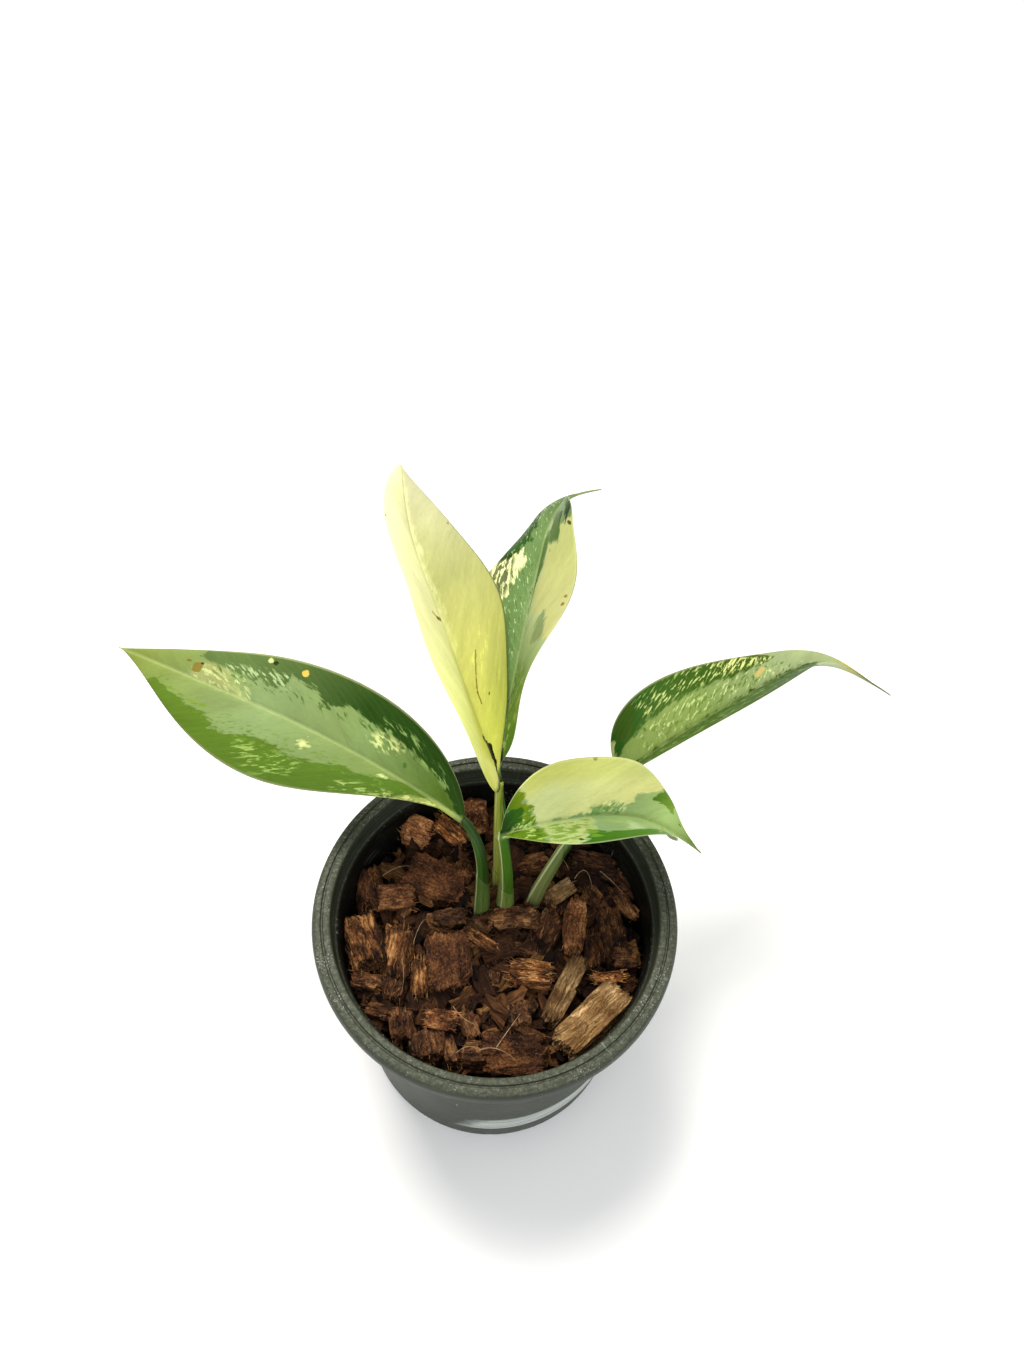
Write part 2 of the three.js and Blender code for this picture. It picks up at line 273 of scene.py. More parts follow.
profile = rounded(POT_PROFILE, FILLET_STEPS)
turn = np.linspace(0, 2 * np.pi, POT_STEPS, endpoint=False)
rings = np.stack(
    [
        profile[:, :1] * np.cos(turn),
        profile[:, :1] * np.sin(turn),
        np.repeat(profile[:, 1:], POT_STEPS, axis=1),
    ],
    axis=-1,
)

# Recycled polypropylene, injection moulded: a dull dark grey green with flow lines round the
# wall, a paler lip with specks of dust, fine scratches, an inside painted nearly black as shade
# with damp streaks, and a pale band of painted floor reflection.
plastic, tree, shader = finish_of(
    "moulded_recycled_polypropylene", IOR=1.49, Specular_IOR_Level=0.12
)

# Where a point is: its height, its distance from the middle, which way it faces, and its
# place on the wall laid round a drum of the mean radius, so that patterns follow the wall.
where = node(tree, "TexCoord", output="Object")
place = node(tree, "VectorMath", {0: where, "Scale": 1 / MM}, operation="SCALE")
height = node(tree, "SeparateXYZ", {0: place}, output="Z")
flat = node(tree, "VectorMath", {0: place, 1: (1, 1, 0)}, operation="MULTIPLY")
radius = node(tree, "VectorMath", {0: flat}, "Value", operation="LENGTH")
spoke = node(tree, "VectorMath", {0: flat}, operation="NORMALIZE")
around = node(tree, "VectorMath", {0: spoke, "Scale": MEAN_RADIUS}, operation="SCALE")
run = node(tree, "Math", {0: height, 1: radius}, operation="ADD")
up_profile = node(tree, "CombineXYZ", {"Z": run})
turned = node(tree, "VectorMath", {0: around, 1: up_profile}, operation="ADD")
facing = node(tree, "NewGeometry", output="Normal")
upward = node(tree, "SeparateXYZ", {0: facing}, output="Z")
level = node(tree, "MapRange", {0: upward, 1: 0.35, 2: 0.85})
taper = node(tree, "Math", {0: height, 1: -WALL_SLOPE, 2: radius}, operation="MULTIPLY_ADD")
inside = node(tree, "MapRange", {0: taper, 1: BASE_RADIUS + 1.0, 2: BASE_RADIUS + 0.5})

# Wall: clouds about 16 mm across and flow lines about 1.4 mm apart, half and half. Lip:
# grit about 1.2 mm across. Inside: nearly black as painted shade, with slightly paler damp
# streaks.
cloud = node(tree, "TexNoise", {"Vector": place, "Scale": 0.06, "Detail": 5.0, "Roughness": 0.6})
flow = node(tree, "VectorMath", {0: turned, 1: (0.03, 0.03, 0.7)}, operation="MULTIPLY")
lines = node(tree, "TexNoise", {"Vector": flow, "Scale": 1.0, "Detail": 4.0, "Roughness": 0.65})
wall_stops = [(0.3, "#282d24"), (0.7, "#3c4137"), (0.5, "#32372d")]
wall_tone = node(tree, "ValToRGB", {"Fac": cloud}, stops=wall_stops)
line_stops = [(0.34, "#181b14"), (0.68, "#525849"), (0.5, "#2d3228")]
line_tone = node(tree, "ValToRGB", {"Fac": lines}, stops=line_stops)
body_tone = node(tree, "MixRGB", {"Fac": 0.5, "Color1": wall_tone, "Color2": line_tone})

grit = node(tree, "TexNoise", {"Vector": place, "Scale": 0.8, "Detail": 4.0, "Roughness": 0.75})
lip_stops = [(0.3, "#2d3026"), (0.75, "#686b5e"), (0.52, "#45493b")]
lip_tone = node(tree, "ValToRGB", {"Fac": grit}, stops=lip_stops)
colour = node(tree, "MixRGB", {"Fac": level, "Color1": body_tone, "Color2": lip_tone})
damp = node(tree, "TexNoise", {"Vector": flow, "Scale": 0.7, "Detail": 3.0})
# The inside tone is painted shade, with damp streaks in it.
damp_and_shade_stops = [(0.35, "#0c0c09"), (0.75, "#24251d"), (0.6, "#12120e")]
damp_and_shade_tone = node(tree, "ValToRGB", {"Fac": damp}, stops=damp_and_shade_stops)
colour = node(tree, "MixRGB", {"Fac": inside, "Color1": colour, "Color2": damp_and_shade_tone})

# Dust: specks about half a millimetre across, thick on the lip and thin on the wall.
speck = node(tree, "TexNoise", {"Vector": place, "Scale": 1.7, "Detail": 2.0, "Roughness": 0.8})
patch = node(tree, "TexNoise", {"Vector": place, "Scale": 0.11, "Detail": 3.0})
where_dusty = node(tree, "Math", {0: patch, 1: 0.35, 2: speck}, operation="MULTIPLY_ADD")
ease = node(tree, "Math", {0: level, 1: 0.045, 2: where_dusty}, operation="MULTIPLY_ADD")
dust = node(tree, "MapRange", {0: ease, 1: 0.86, 2: 0.94, 4: 0.6})
colour = node(tree, "MixRGB", {"Fac": dust, "Color1": colour, "Color2": "#b7bab0"})

# Painted reflection of the pale floor: a pale band low on the front right, 15 mm high. It
# begins at a ragged slanted line a little left of the middle, and fades as the wall turns to
# the side.
low = node(tree, "MapRange", {0: height, 1: REFLECTION_BAND[0] - 0.3, 2: REFLECTION_BAND[0] + 0.3})
high = node(tree, "MapRange", {0: height, 1: REFLECTION_BAND[1] + 0.3, 2: REFLECTION_BAND[1] - 0.3})
slant = (1.0, 0.0, -0.5)
sideways = node(tree, "VectorMath", {0: place, 1: slant}, "Value", operation="DOT_PRODUCT")
ragged = node(tree, "TexNoise", {"Vector": place, "Scale": 0.25, "Detail": 3.0})
sideways = node(tree, "Math", {0: ragged, 1: 8.0, 2: sideways}, operation="MULTIPLY_ADD")
begins = node(tree, "MapRange", {0: sideways, 1: -14.5, 2: -7.0})
front = (0.35, -0.94, 0)
frontal = node(tree, "VectorMath", {0: spoke, 1: front}, "Value", operation="DOT_PRODUCT")
faces_front = node(tree, "MapRange", {0: frontal, 1: 0.1, 2: 0.5})
outside = node(tree, "Math", {0: 1.0, 1: inside}, operation="SUBTRACT")
reflection_band = low
for limit in (high, begins, faces_front, outside):
    reflection_band = node(tree, "Math", {0: reflection_band, 1: limit}, operation="MULTIPLY")
# Painted reflection: the pale floor seen in the smoother band.
painted_reflection = node(tree, "ValToRGB", {"Fac": lines}, stops=[(0.3, "#868d86"), (0.7, "#c6ccc5")])
reflection_strength = node(tree, "Math", {0: reflection_band, 1: 0.85}, operation="MULTIPLY")
colour = node(tree, "MixRGB", {"Fac": reflection_strength, "Color1": colour, "Color2": painted_reflection})

# Hairline scratches: faint bright threads 0.3 mm wide in two directions.
threads = []
for rotation, scale in SCRATCHES:
    laid = node(tree, "Mapping", {"Vector": turned, "Rotation": rotation, "Scale": scale})
    threads.append(node(tree, "TexNoise", {"Vector": laid, "Scale": 1.0, "Detail": 1.0}))
scratch = node(tree, "Math", {0: threads[0], 1: threads[1]}, operation="MAXIMUM")
hairline = node(tree, "MapRange", {0: scratch, 1: 0.76, 2: 0.8, 4: 0.3})
colour = node(tree, "MixRGB", {"Fac": hairline, "Color1": colour, "Color2": "#c4c6bd"})
tree.links.new(colour, shader["Base Color"])

# Dust is rougher than the plastic, and the band with the painted reflection is smoother. Flow
# lines, grit and dust stand up by about a tenth of a millimetre.
rough = node(tree, "MapRange", {0: lines, 1: 0.3, 2: 0.7, 3: 0.4, 4: 0.55})
dusty_rough = node(tree, "Math", {0: dust, 1: 0.35, 2: rough}, operation="MULTIPLY_ADD")
smooth_rough = node(tree, "Math", {0: reflection_band, 1: -0.18, 2: dusty_rough}, operation="MULTIPLY_ADD")
tree.links.new(smooth_rough, shader["Roughness"])
relief = node(tree, "Math", {0: grit, 1: 0.6, 2: lines}, operation="MULTIPLY_ADD")
relief = node(tree, "Math", {0: dust, 1: 0.5, 2: relief}, operation="MULTIPLY_ADD")
bump = node(tree, "Bump", {"Height": relief, "Distance": 0.16 * MM, "Strength": 0.8})
tree.links.new(bump, shader["Normal"])

pot = make_piece("nursery_pot", *skin(rings), plastic)
face_outwards(pot)

# The drain holes are cut through the base on one circle.
hole_turn = np.linspace(0, 2 * np.pi, DRILL_STEPS, endpoint=False)
drills = []
for middle in 2 * np.pi * np.arange(DRAIN_HOLES) / DRAIN_HOLES:
    x = DRAIN_CIRCLE * np.cos(middle) + DRAIN_RADIUS * np.cos(hole_turn)
    y = DRAIN_CIRCLE * np.sin(middle) + DRAIN_RADIUS * np.sin(hole_turn)
    drills.append(skin(np.array([np.stack([x, y, z + 0 * x], axis=-1) for z in DRILL_ENDS])))
drill = make_piece("drill", *joined(drills), plastic)
face_outwards(drill)
cut = pot.modifiers.new("drain holes", "BOOLEAN")
cut.operation = "DIFFERENCE"
cut.solver = "EXACT"
cut.object = drill
bored = bpy.data.meshes.new_from_object(pot.evaluated_get(bpy.context.evaluated_depsgraph_get()))
pot.modifiers.clear()
pot.data = bored
bpy.data.objects.remove(drill)
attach(pot, "root")
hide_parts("pot")


# Bed of chopped husk
# Coconut husk cut into small blocks and poured in. Only the top of it shows, in the gaps
# between the larger chips, so it is a rough lump with many angular shards lying on it.

# Rings are the shares of the top's radius at which its points lie, and the side goes between
# two heights. Lumps are the height, size and seed of each noise on the top, which drops at the
# wall by the edge's drop.
BED_LEVEL = 69
BED_SIDE = (63, 2.2)
BED_STEPS = 128
BED_RINGS = [0.15, 0.3, 0.42, 0.52, 0.61, 0.69, 0.77, 0.84, 0.9, 0.95, 0.985, 1]
BED_SIDE_RINGS = 9
BED_LUMPS = [(6, 6, 3), (3, 2.5, 8)]
BED_EDGE_DROP = 3
# The proportions are the least and the greatest, the angles the greatest turn, pitch and bank,
# the height that of a shard's middle, and the painted shade the heights at which shards are
# darkest and lightest.
SHARDS = 1300
SHARD_LENGTH = (3, 10)
SHARD_PROPORTIONS = [(1, 0.3, 0.12), (1, 0.75, 0.45)]
SHARD_SHAKE = 0.9
SHARD_ANGLES = (180, 45, 70)
SHARD_HEIGHT = (64.5, 75)
SHARD_PAINTED_SHADE = (63, 73)
SHARD_TONES = ["#0f0703", "#201109", "#331e10", "#492e1a", "#634329", "#7c5835", "#9c7848"]
# The strands' lengths and radii are the least and the greatest, and the bend is the greatest.
LOOSE_STRANDS = 1100
STRAND_LENGTH = (2, 7)
STRAND_RADIUS = (0.04, 0.09)
STRAND_BEND = 1.5
chance = np.random.default_rng(45)


def shake(piece, number):
    """A steady pseudo-random value from -0.5 to 0.5: the fraction of a large sine."""
    place = 127.1 * np.asarray(piece, float) + 311.7 * np.asarray(number, float)
    wave = np.sin(place) * 43758.5453
    return wave - np.floor(wave) - 0.5


def noise(points, size, seed):
    """Smooth noise from -0.5 to 0.5: a shaken value at each corner of a lattice of this
    size, mixed in three directions by a smooth curve."""
    scaled = points / np.asarray(size, float)
    cell = np.floor(scaled)
    part = scaled - cell
    part = part * part * (3 - 2 * part)
    total = np.zeros(points.shape[:-1])
    for corner in np.ndindex(2, 2, 2):
        weight = np.where(np.array(corner), part, 1 - part).prod(axis=-1)
        x, y, z = np.moveaxis(cell + np.array(corner), -1, 0)
        total += weight * shake(x * 1.37 + y * 7.13 + seed, z + y * 0.31)
    return total


def box_skin(steps):
    """The outside of a cube from -1 to 1 with this many steps along each edge: its points
    and its four-cornered faces, where neighbouring sides share their points."""
    ramp = np.linspace(-1, 1, steps + 1)
    a, b = np.meshgrid(ramp, ramp, indexing="ij")
    one = np.ones_like(a)
    sides = []
    for axis in range(3):
        for sign in (-1, 1):
            side = np.stack([one * sign, a, b], axis=-1)
            sides.append(np.roll(side, axis, axis=-1).reshape(-1, 3))
    points, kept = np.unique(np.round(np.concatenate(sides), 6), axis=0, return_inverse=True)
    kept = kept.reshape(6, steps + 1, steps + 1)
    quads = np.stack([kept[:, :-1, :-1], kept[:, 1:, :-1], kept[:, 1:, 1:], kept[:, :-1, 1:]], -1)
    quads[::2] = quads[::2, ..., ::-1]
    return points, quads.reshape(-1, 4)


def turned_by(points, turn, pitch, bank):
    """Points turned in degrees about X by bank, then about Y by pitch, then about Z by turn."""
    rows = points
    for axis, angle in ((0, bank), (1, pitch), (2, turn)):
        c, s = np.cos(np.radians(angle)), np.sin(np.radians(angle))
        p, q = [(1, 2), (2, 0), (0, 1)][axis]
        rows = rows.copy()
        old = rows[..., p].copy()
        rows[..., p] = c * old - s * rows[..., q]
        rows[..., q] = s * old + c * rows[..., q]
    return rows


def within_wall(points, gap):
    """Points pulled straight in towards the middle where they would be past the pot's wall."""
    limit = BASE_RADIUS + points[..., 2] * WALL_SLOPE - gap
    distance = np.linalg.norm(points[..., :2], axis=-1)
    kept = points.copy()
    kept[..., :2] *= np.minimum(1, limit / distance)[..., None]
    return kept


def tubes(starts, middles, ends, radii, sides=3, steps=5):
    """Thin threads as one mesh. Each follows a parabola from its start by its middle to its
    end, is round with this many sides, and narrows to a third at its end. Its first side
    lies square to an arbitrary slanted direction."""
    along = np.linspace(0, 1, steps)[None, :, None]
    path = (
        (1 - along) ** 2 * starts[:, None]
        + 2 * along * (1 - along) * middles[:, None]
        + along**2 * ends[:, None]
    )
    ahead = np.gradient(path, axis=1)
    ahead /= np.linalg.norm(ahead, axis=-1, keepdims=True) + 1e-9
    across = np.cross(ahead, [0.31, 0.52, 0.79])
    across /= np.linalg.norm(across, axis=-1, keepdims=True) + 1e-9
    over = np.cross(ahead, across)
    turn = np.linspace(0, 2 * np.pi, sides, endpoint=False)[:, None]
    thin = radii[:, None, None, None] * (1 - 0.67 * along[..., None])
    rings = path[:, :, None] + thin * (
        across[:, :, None] * np.cos(turn) + over[:, :, None] * np.sin(turn)
    )
    count, size = len(starts), steps * sides
    step = np.arange(sides)
    after = (step + 1) % sides
    ring = np.arange(steps - 1)[:, None] * sides
    wall = np.stack([ring + step, ring + after, ring + sides + after, ring + sides + step], -1)
    offset = np.arange(count)[:, None] * size
    walls = (wall.reshape(1, -1) + offset).reshape(-1, 4).tolist()
    foot = (np.arange(sides)[::-1][None] + offset).tolist()
    tip = (np.arange(size - sides, size)[None] + offset).tolist()
    return rings.reshape(-1, 3), walls + foot + tip


def give(piece, name, values):
    """Stores one number, or one vector, for each point of the piece's mesh."""
    values = np.asarray(values, np.float32)
    kind, field = ("FLOAT", "value") if values.ndim == 1 else ("FLOAT_VECTOR", "vector")
    piece.data.attributes.new(name, kind, "POINT").data.foreach_set(field, values.ravel())


# Small chopped husk: dark and fibrous, with a different tone on each shard that also carries painted
# shade.
def small_husk_finish():
    """Dark husk whose tone comes from each shard's own number, with short pale fibres."""
    made, tree, shader = finish_of(
        "chopped_coconut_husk_small", Roughness=0.92, IOR=1.5, Specular_IOR_Level=0.2
    )
    grain = node(tree, "Attribute", output="Vector", attribute_name="grain")
    # The tone holds painted shade: deeper shards and the lump are darker.
    tone = node(tree, "Attribute", output="Fac", attribute_name="tone")
    stops = [(i / (len(SHARD_TONES) - 1), colour) for i, colour in enumerate(SHARD_TONES)]
    own = node(tree, "ValToRGB", {"Fac": tone}, stops=[stops[0], stops[-1], *stops[1:-1]])
    long = node(tree, "VectorMath", {0: grain, 1: (0.15, 1.2, 1.2)}, operation="MULTIPLY")
    fibre = node(tree, "TexNoise", {"Vector": long, "Scale": 1.0, "Detail": 3.0, "Roughness": 0.75})
    fibre_stops = [(0.36, "#4a3f36"), (0.64, "#fff0d8"), (0.5, "#ac9c8c")]
    shade = node(tree, "ValToRGB", {"Fac": fibre}, stops=fibre_stops)
    colour = node(
        tree, "MixRGB", {"Fac": 0.85, "Color1": own, "Color2": shade}, blend_type="MULTIPLY"
    )
    tree.links.new(colour, shader["Base Color"])
    bump = node(tree, "Bump", {"Height": fibre, "Distance": 0.8 * MM, "Strength": 1.0})
    tree.links.new(bump, shader["Normal"])
    return made


# The lump: a rough top, a side 0.3 mm in from the pot's wall, and a narrower underside.
small_husk = small_husk_finish()
turn = np.linspace(0, 2 * np.pi, BED_STEPS, endpoint=False)
circle = np.stack([np.cos(turn), np.sin(turn), 0 * turn], axis=-1)
wall_at_level = BASE_RADIUS + BED_LEVEL * WALL_SLOPE - 0.2
shares = np.array(BED_RINGS)[:, None]
top = (shares * wall_at_level)[..., None] * circle + [0, 0, BED_LEVEL]
lumps = sum(height * noise(top, size, seed) for height, size, seed in BED_LUMPS)
top[..., 2] += lumps - BED_EDGE_DROP * shares**6
side_heights = np.linspace(*BED_SIDE, BED_SIDE_RINGS)[:, None, None]
side = (BASE_RADIUS + side_heights * WALL_SLOPE - 0.3) * circle + side_heights * [0, 0, 1]
under = side[-1:] * np.array([0.9, 0.9, 1])
lump = skin(np.concatenate([top, side, under])[::-1])

# Shards: small blocks with their corners shaken, in every direction but mostly lying flat.
# Each has its own part of the grain's pattern.
block, block_faces = box_skin(2)
lengths = chance.uniform(*SHARD_LENGTH, SHARDS)
sizes = lengths[:, None] * chance.uniform(*SHARD_PROPORTIONS, (SHARDS, 3))
shaken = 1 + SHARD_SHAKE * chance.uniform(-0.5, 0.5, (SHARDS, len(block), 3))
shards = block[None] * sizes[:, None] / 2 * shaken
grain_of_shards = shards + chance.uniform(0, 300, (SHARDS, 1, 3))
angles = chance.uniform(-np.array(SHARD_ANGLES), SHARD_ANGLES, (SHARDS, 3))
spread = np.sqrt(chance.uniform(0, 1, SHARDS)) * (wall_at_level - 0.42 * lengths)
bearing = chance.uniform(0, 2 * np.pi, SHARDS)
heights = chance.uniform(*SHARD_HEIGHT, SHARDS)
middles = np.stack([spread * np.cos(bearing), spread * np.sin(bearing), heights], -1)
placed = np.stack([turned_by(shards[i], *angles[i]) for i in range(SHARDS)]) + middles[:, None]
placed = within_wall(placed, 0.3)
shard_corners = block_faces.reshape(1, -1) + np.arange(SHARDS)[:, None] * len(block)
shard_corners = shard_corners.reshape(-1, 4)

# Strands: single fibres that have come off the shards. They start within 3 mm of a shard.
roots = middles[chance.integers(0, SHARDS, LOOSE_STRANDS)]
roots = roots + chance.uniform(-3, 3, (LOOSE_STRANDS, 3))
heading = chance.uniform(0, 2 * np.pi, LOOSE_STRANDS)
rise = chance.uniform(-0.3, 0.6, LOOSE_STRANDS)
reach_out = np.stack([np.cos(heading), np.sin(heading), rise], -1)
strand_ends = roots + chance.uniform(*STRAND_LENGTH, LOOSE_STRANDS)[:, None] * reach_out
roots, strand_ends = within_wall(roots, 1), within_wall(strand_ends, 1)
bend = chance.uniform(-STRAND_BEND, STRAND_BEND, (LOOSE_STRANDS, 3))
radii = chance.uniform(*STRAND_RADIUS, LOOSE_STRANDS)
threads = tubes(roots, (roots + strand_ends) / 2 + bend, strand_ends, radii)

points, faces = joined([lump, (placed.reshape(-1, 3), shard_corners.tolist()), threads])
bed = make_piece("husk_bed_chopped", points, faces, small_husk)
bed.data.set_sharp_from_angle(angle=np.radians(28))
give(bed, "grain", np.concatenate([lump[0], grain_of_shards.reshape(-1, 3), threads[0]]))

# A shard's tone is darker the deeper it lies, as painted shade among the chips. The lump is
# nearly black, painted shade in the gaps, and the strands pale.
dark, light = SHARD_PAINTED_SHADE
depth_shade = np.clip((middles[:, 2] - dark) / (light - dark), 0.15, 1)
shard_tones_and_shade = chance.uniform(0.1, 1, SHARDS) * depth_shade
tones = [
    np.full(len(lump[0]), 0.03),
    np.repeat(shard_tones_and_shade, len(block)),
    np.repeat(chance.uniform(0.55, 1, LOOSE_STRANDS), len(threads[0]) // LOOSE_STRANDS),
]
give(bed, "tone", np.concatenate(tones))
face_outwards(bed)
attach(bed, "root")
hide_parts("husk_bed")


# Large husk chips
# Blocks and slivers of coconut husk, chopped with a blade: corky pith bound by coir fibres
# that run along the block and stick out of its torn ends. They lie loose on the bed.

# The steps are those along a chip's edge, more for a large chip than for a small one.
# Sharpness is the power in the block's shape. A torn end strays by a share of the length, up
# to the greatest tear. Chips of the full relief length and more have full ridges and cracks.
# The thickness is a number of mm and a share of the width.
LARGE_STEPS = 28
SMALL_STEPS = 18
LARGE_CHIP = 12
BLADE_CUTS = 4
SHARPNESS = 16
GREATEST_TEAR = 2.2
TEAR_SHARE = 0.13
FULL_RELIEF_LENGTH = 21
THICKNESS = (3.2, 0.55)
# Each finish: three tones from shadow to light, how strong the long fibres and the grains of
# pith are, the gap between fibres in mm, the width of a fibre as a share of its length, how
# many threads stick out at the torn ends, and how uneven the block is beside the others.
HUSKS = {
    "orange": {
        "tones": ["#241208", "#7e4d2c", "#d79a63"],
        "fibre": 0.6, "grain": 0.6, "gap": 0.9, "run": 0.15, "threads": 40, "rough": 1,
    },
    "pith": {
        "tones": ["#221007", "#6a4026", "#b37744"],
        "fibre": 0.35, "grain": 0.9, "gap": 0.8, "run": 0.25, "threads": 34, "rough": 1,
    },
    "fibrous": {
        "tones": ["#1c0d05", "#7e4c25", "#e4a463"],
        "fibre": 1.0, "grain": 0.2, "gap": 1.1, "run": 0.08, "threads": 80, "rough": 1,
    },
    "tan": {
        "tones": ["#6a4a28", "#a67d4c", "#dab27c"],
        "fibre": 0.5, "grain": 0.03, "gap": 0.8, "run": 0.035, "threads": 14, "rough": 0.12,
    },
    "dark": {
        "tones": ["#100703", "#482915", "#9f6a3e"],
        "fibre": 0.8, "grain": 0.4, "gap": 1.0, "run": 0.1, "threads": 30, "rough": 1,
    },
    "brown": {
        "tones": ["#170c05", "#633e26", "#b88450"],
        "fibre": 0.7, "grain": 0.5, "gap": 1.0, "run": 0.12, "threads": 30, "rough": 1,
    },
}
# Middle x and y, height of the top, length, width, turn, the tilt along the length and the
# tilt across it, the finish, and how light the chip is beside the others of its finish.
CHIPS = [
    (-29.9, 34.8, 82, 10, 10, -20, 8, -12, "orange", 1.5),
    (-9.9, 40.5, 86, 17, 9.5, -86, -40, 4, "orange", 0.95),
    (-18.4, 38.4, 77, 14, 7, -39, 6, 20, "fibrous", 1.5),
    (-21.4, 17.5, 80, 21, 14, -24, -3, 6, "pith", 1.05),
    (-34.6, 9.6, 79, 12, 10, 9, 5, 14, "orange", 0.7),
    (-44.5, 14.1, 77, 14, 8.5, -75, 10, -25, "dark", 1.05),
    (-43.5, -8.2, 83, 17, 11, -64, -6, -10, "fibrous", 0.65),
    (-31.6, -9.7, 80, 15, 8, -90, 12, 18, "fibrous", 0.6),
    (-14.7, -12.2, 80, 18, 14, -82, 3, -5, "pith", 0.85),
    (6.6, 4.6, 79, 15, 8.5, 3, -6, 8, "brown", 1),
    (12.5, 26, 76, 11, 10, 19, 4, -10, "orange", 0.7),
    (17.9, -0.2, 77, 20, 9, -115, 9, 14, "dark", 1.2),
    (27.1, 2.7, 80, 18, 7, -96, -7, -12, "orange", 1.25),
    (21.9, 16, 78, 10, 6, 42, 12, 22, "tan", 0.75),
    (24, -20, 81, 22, 6, -115, 5, -16, "tan", 0.6),
    (33.6, -30, 82, 26, 11.5, -134, -4, 14, "tan", 0.95),
    (38.9, -14.7, 79, 9, 4, 8, 3, 8, "fibrous", 1.4),
    (12.6, -15.4, 80, 14, 8, -6, -9, -14, "fibrous", 0.95),
    (44.8, -6.8, 78, 9, 8, 8, 6, 10, "brown", 0.9),
    (40.4, 2.4, 78, 18, 8, -82, -12, 9, "dark", 0.9),
    (44.4, 13, 77, 11, 5, -45, 14, 12, "brown", 1.3),
    (-15.5, -32.3, 81, 9, 6, -3, 8, 16, "orange", 1.4),
    (-18.7, -40.5, 79, 9, 11, -79, -16, 6, "brown", 1),
    (8.5, -41, 80, 19, 12, 5, 4, 15, "pith", 0.85),
    (-6.2, -33, 79, 7, 5, -63, 14, -12, "orange", 0.65),
    (9.7, -29.4, 79, 9, 7, -84, -18, 5, "brown", 0.8),
    (-3.1, -4.2, 78, 11, 4, -26, 12, 20, "fibrous", 0.85),
    (-27.4, -34, 78, 10, 7, -80, 9, 24, "brown", 1.1),
    (-36, -29.4, 76, 9, 5, -10, -8, 12, "brown", 1.4),
    (-41.4, -21, 78, 10, 6, -9, 10, -16, "brown", 1.35),
    (-31.6, -21.3, 77, 10, 7, -95, -12, 10, "dark", 0.8),
    (-24.1, -17.5, 78, 12, 5, -84, 14, -14, "fibrous", 0.7),
    (0.4, -16.6, 76, 9, 6, -82, 20, 10, "dark", 0.7),
    (44.6, -16.6, 76, 7, 6, 3, -10, 12, "dark", 0.7),
    (-4.2, -42.3, 78, 9, 7, 3, 6, -18, "brown", 0.9),
    (34.9, 28.4, 75, 18, 10, -13, -6, 14, "dark", 0.45),
    (33, -3.6, 76, 11, 7, -80, 14, -20, "dark", 1.4),
    (43.4, 22.6, 75, 12, 6, -65, -12, 6, "dark", 1.25),
    (-6.4, 1.6, 76, 9, 6, -25, 8, -18, "brown", 0.5),
    (-16.6, 4.1, 77, 11, 5.5, 16, 10, 12, "brown", 0.6),
    (-12.7, 25.4, 76, 12, 5, -63, -14, 16, "dark", 0.95),
    (9.6, -6.4, 76, 12, 5, -5, 12, -12, "dark", 0.7),
    (-11.7, -41.3, 78, 9, 4.5, -68, -14, 10, "brown", 0.9),
    (23.6, -9.6, 75, 8, 6, -50, 12, 14, "fibrous", 0.95),
    (33.8, 15.6, 76, 10, 5, -62, -16, -12, "dark", 1.1),
]


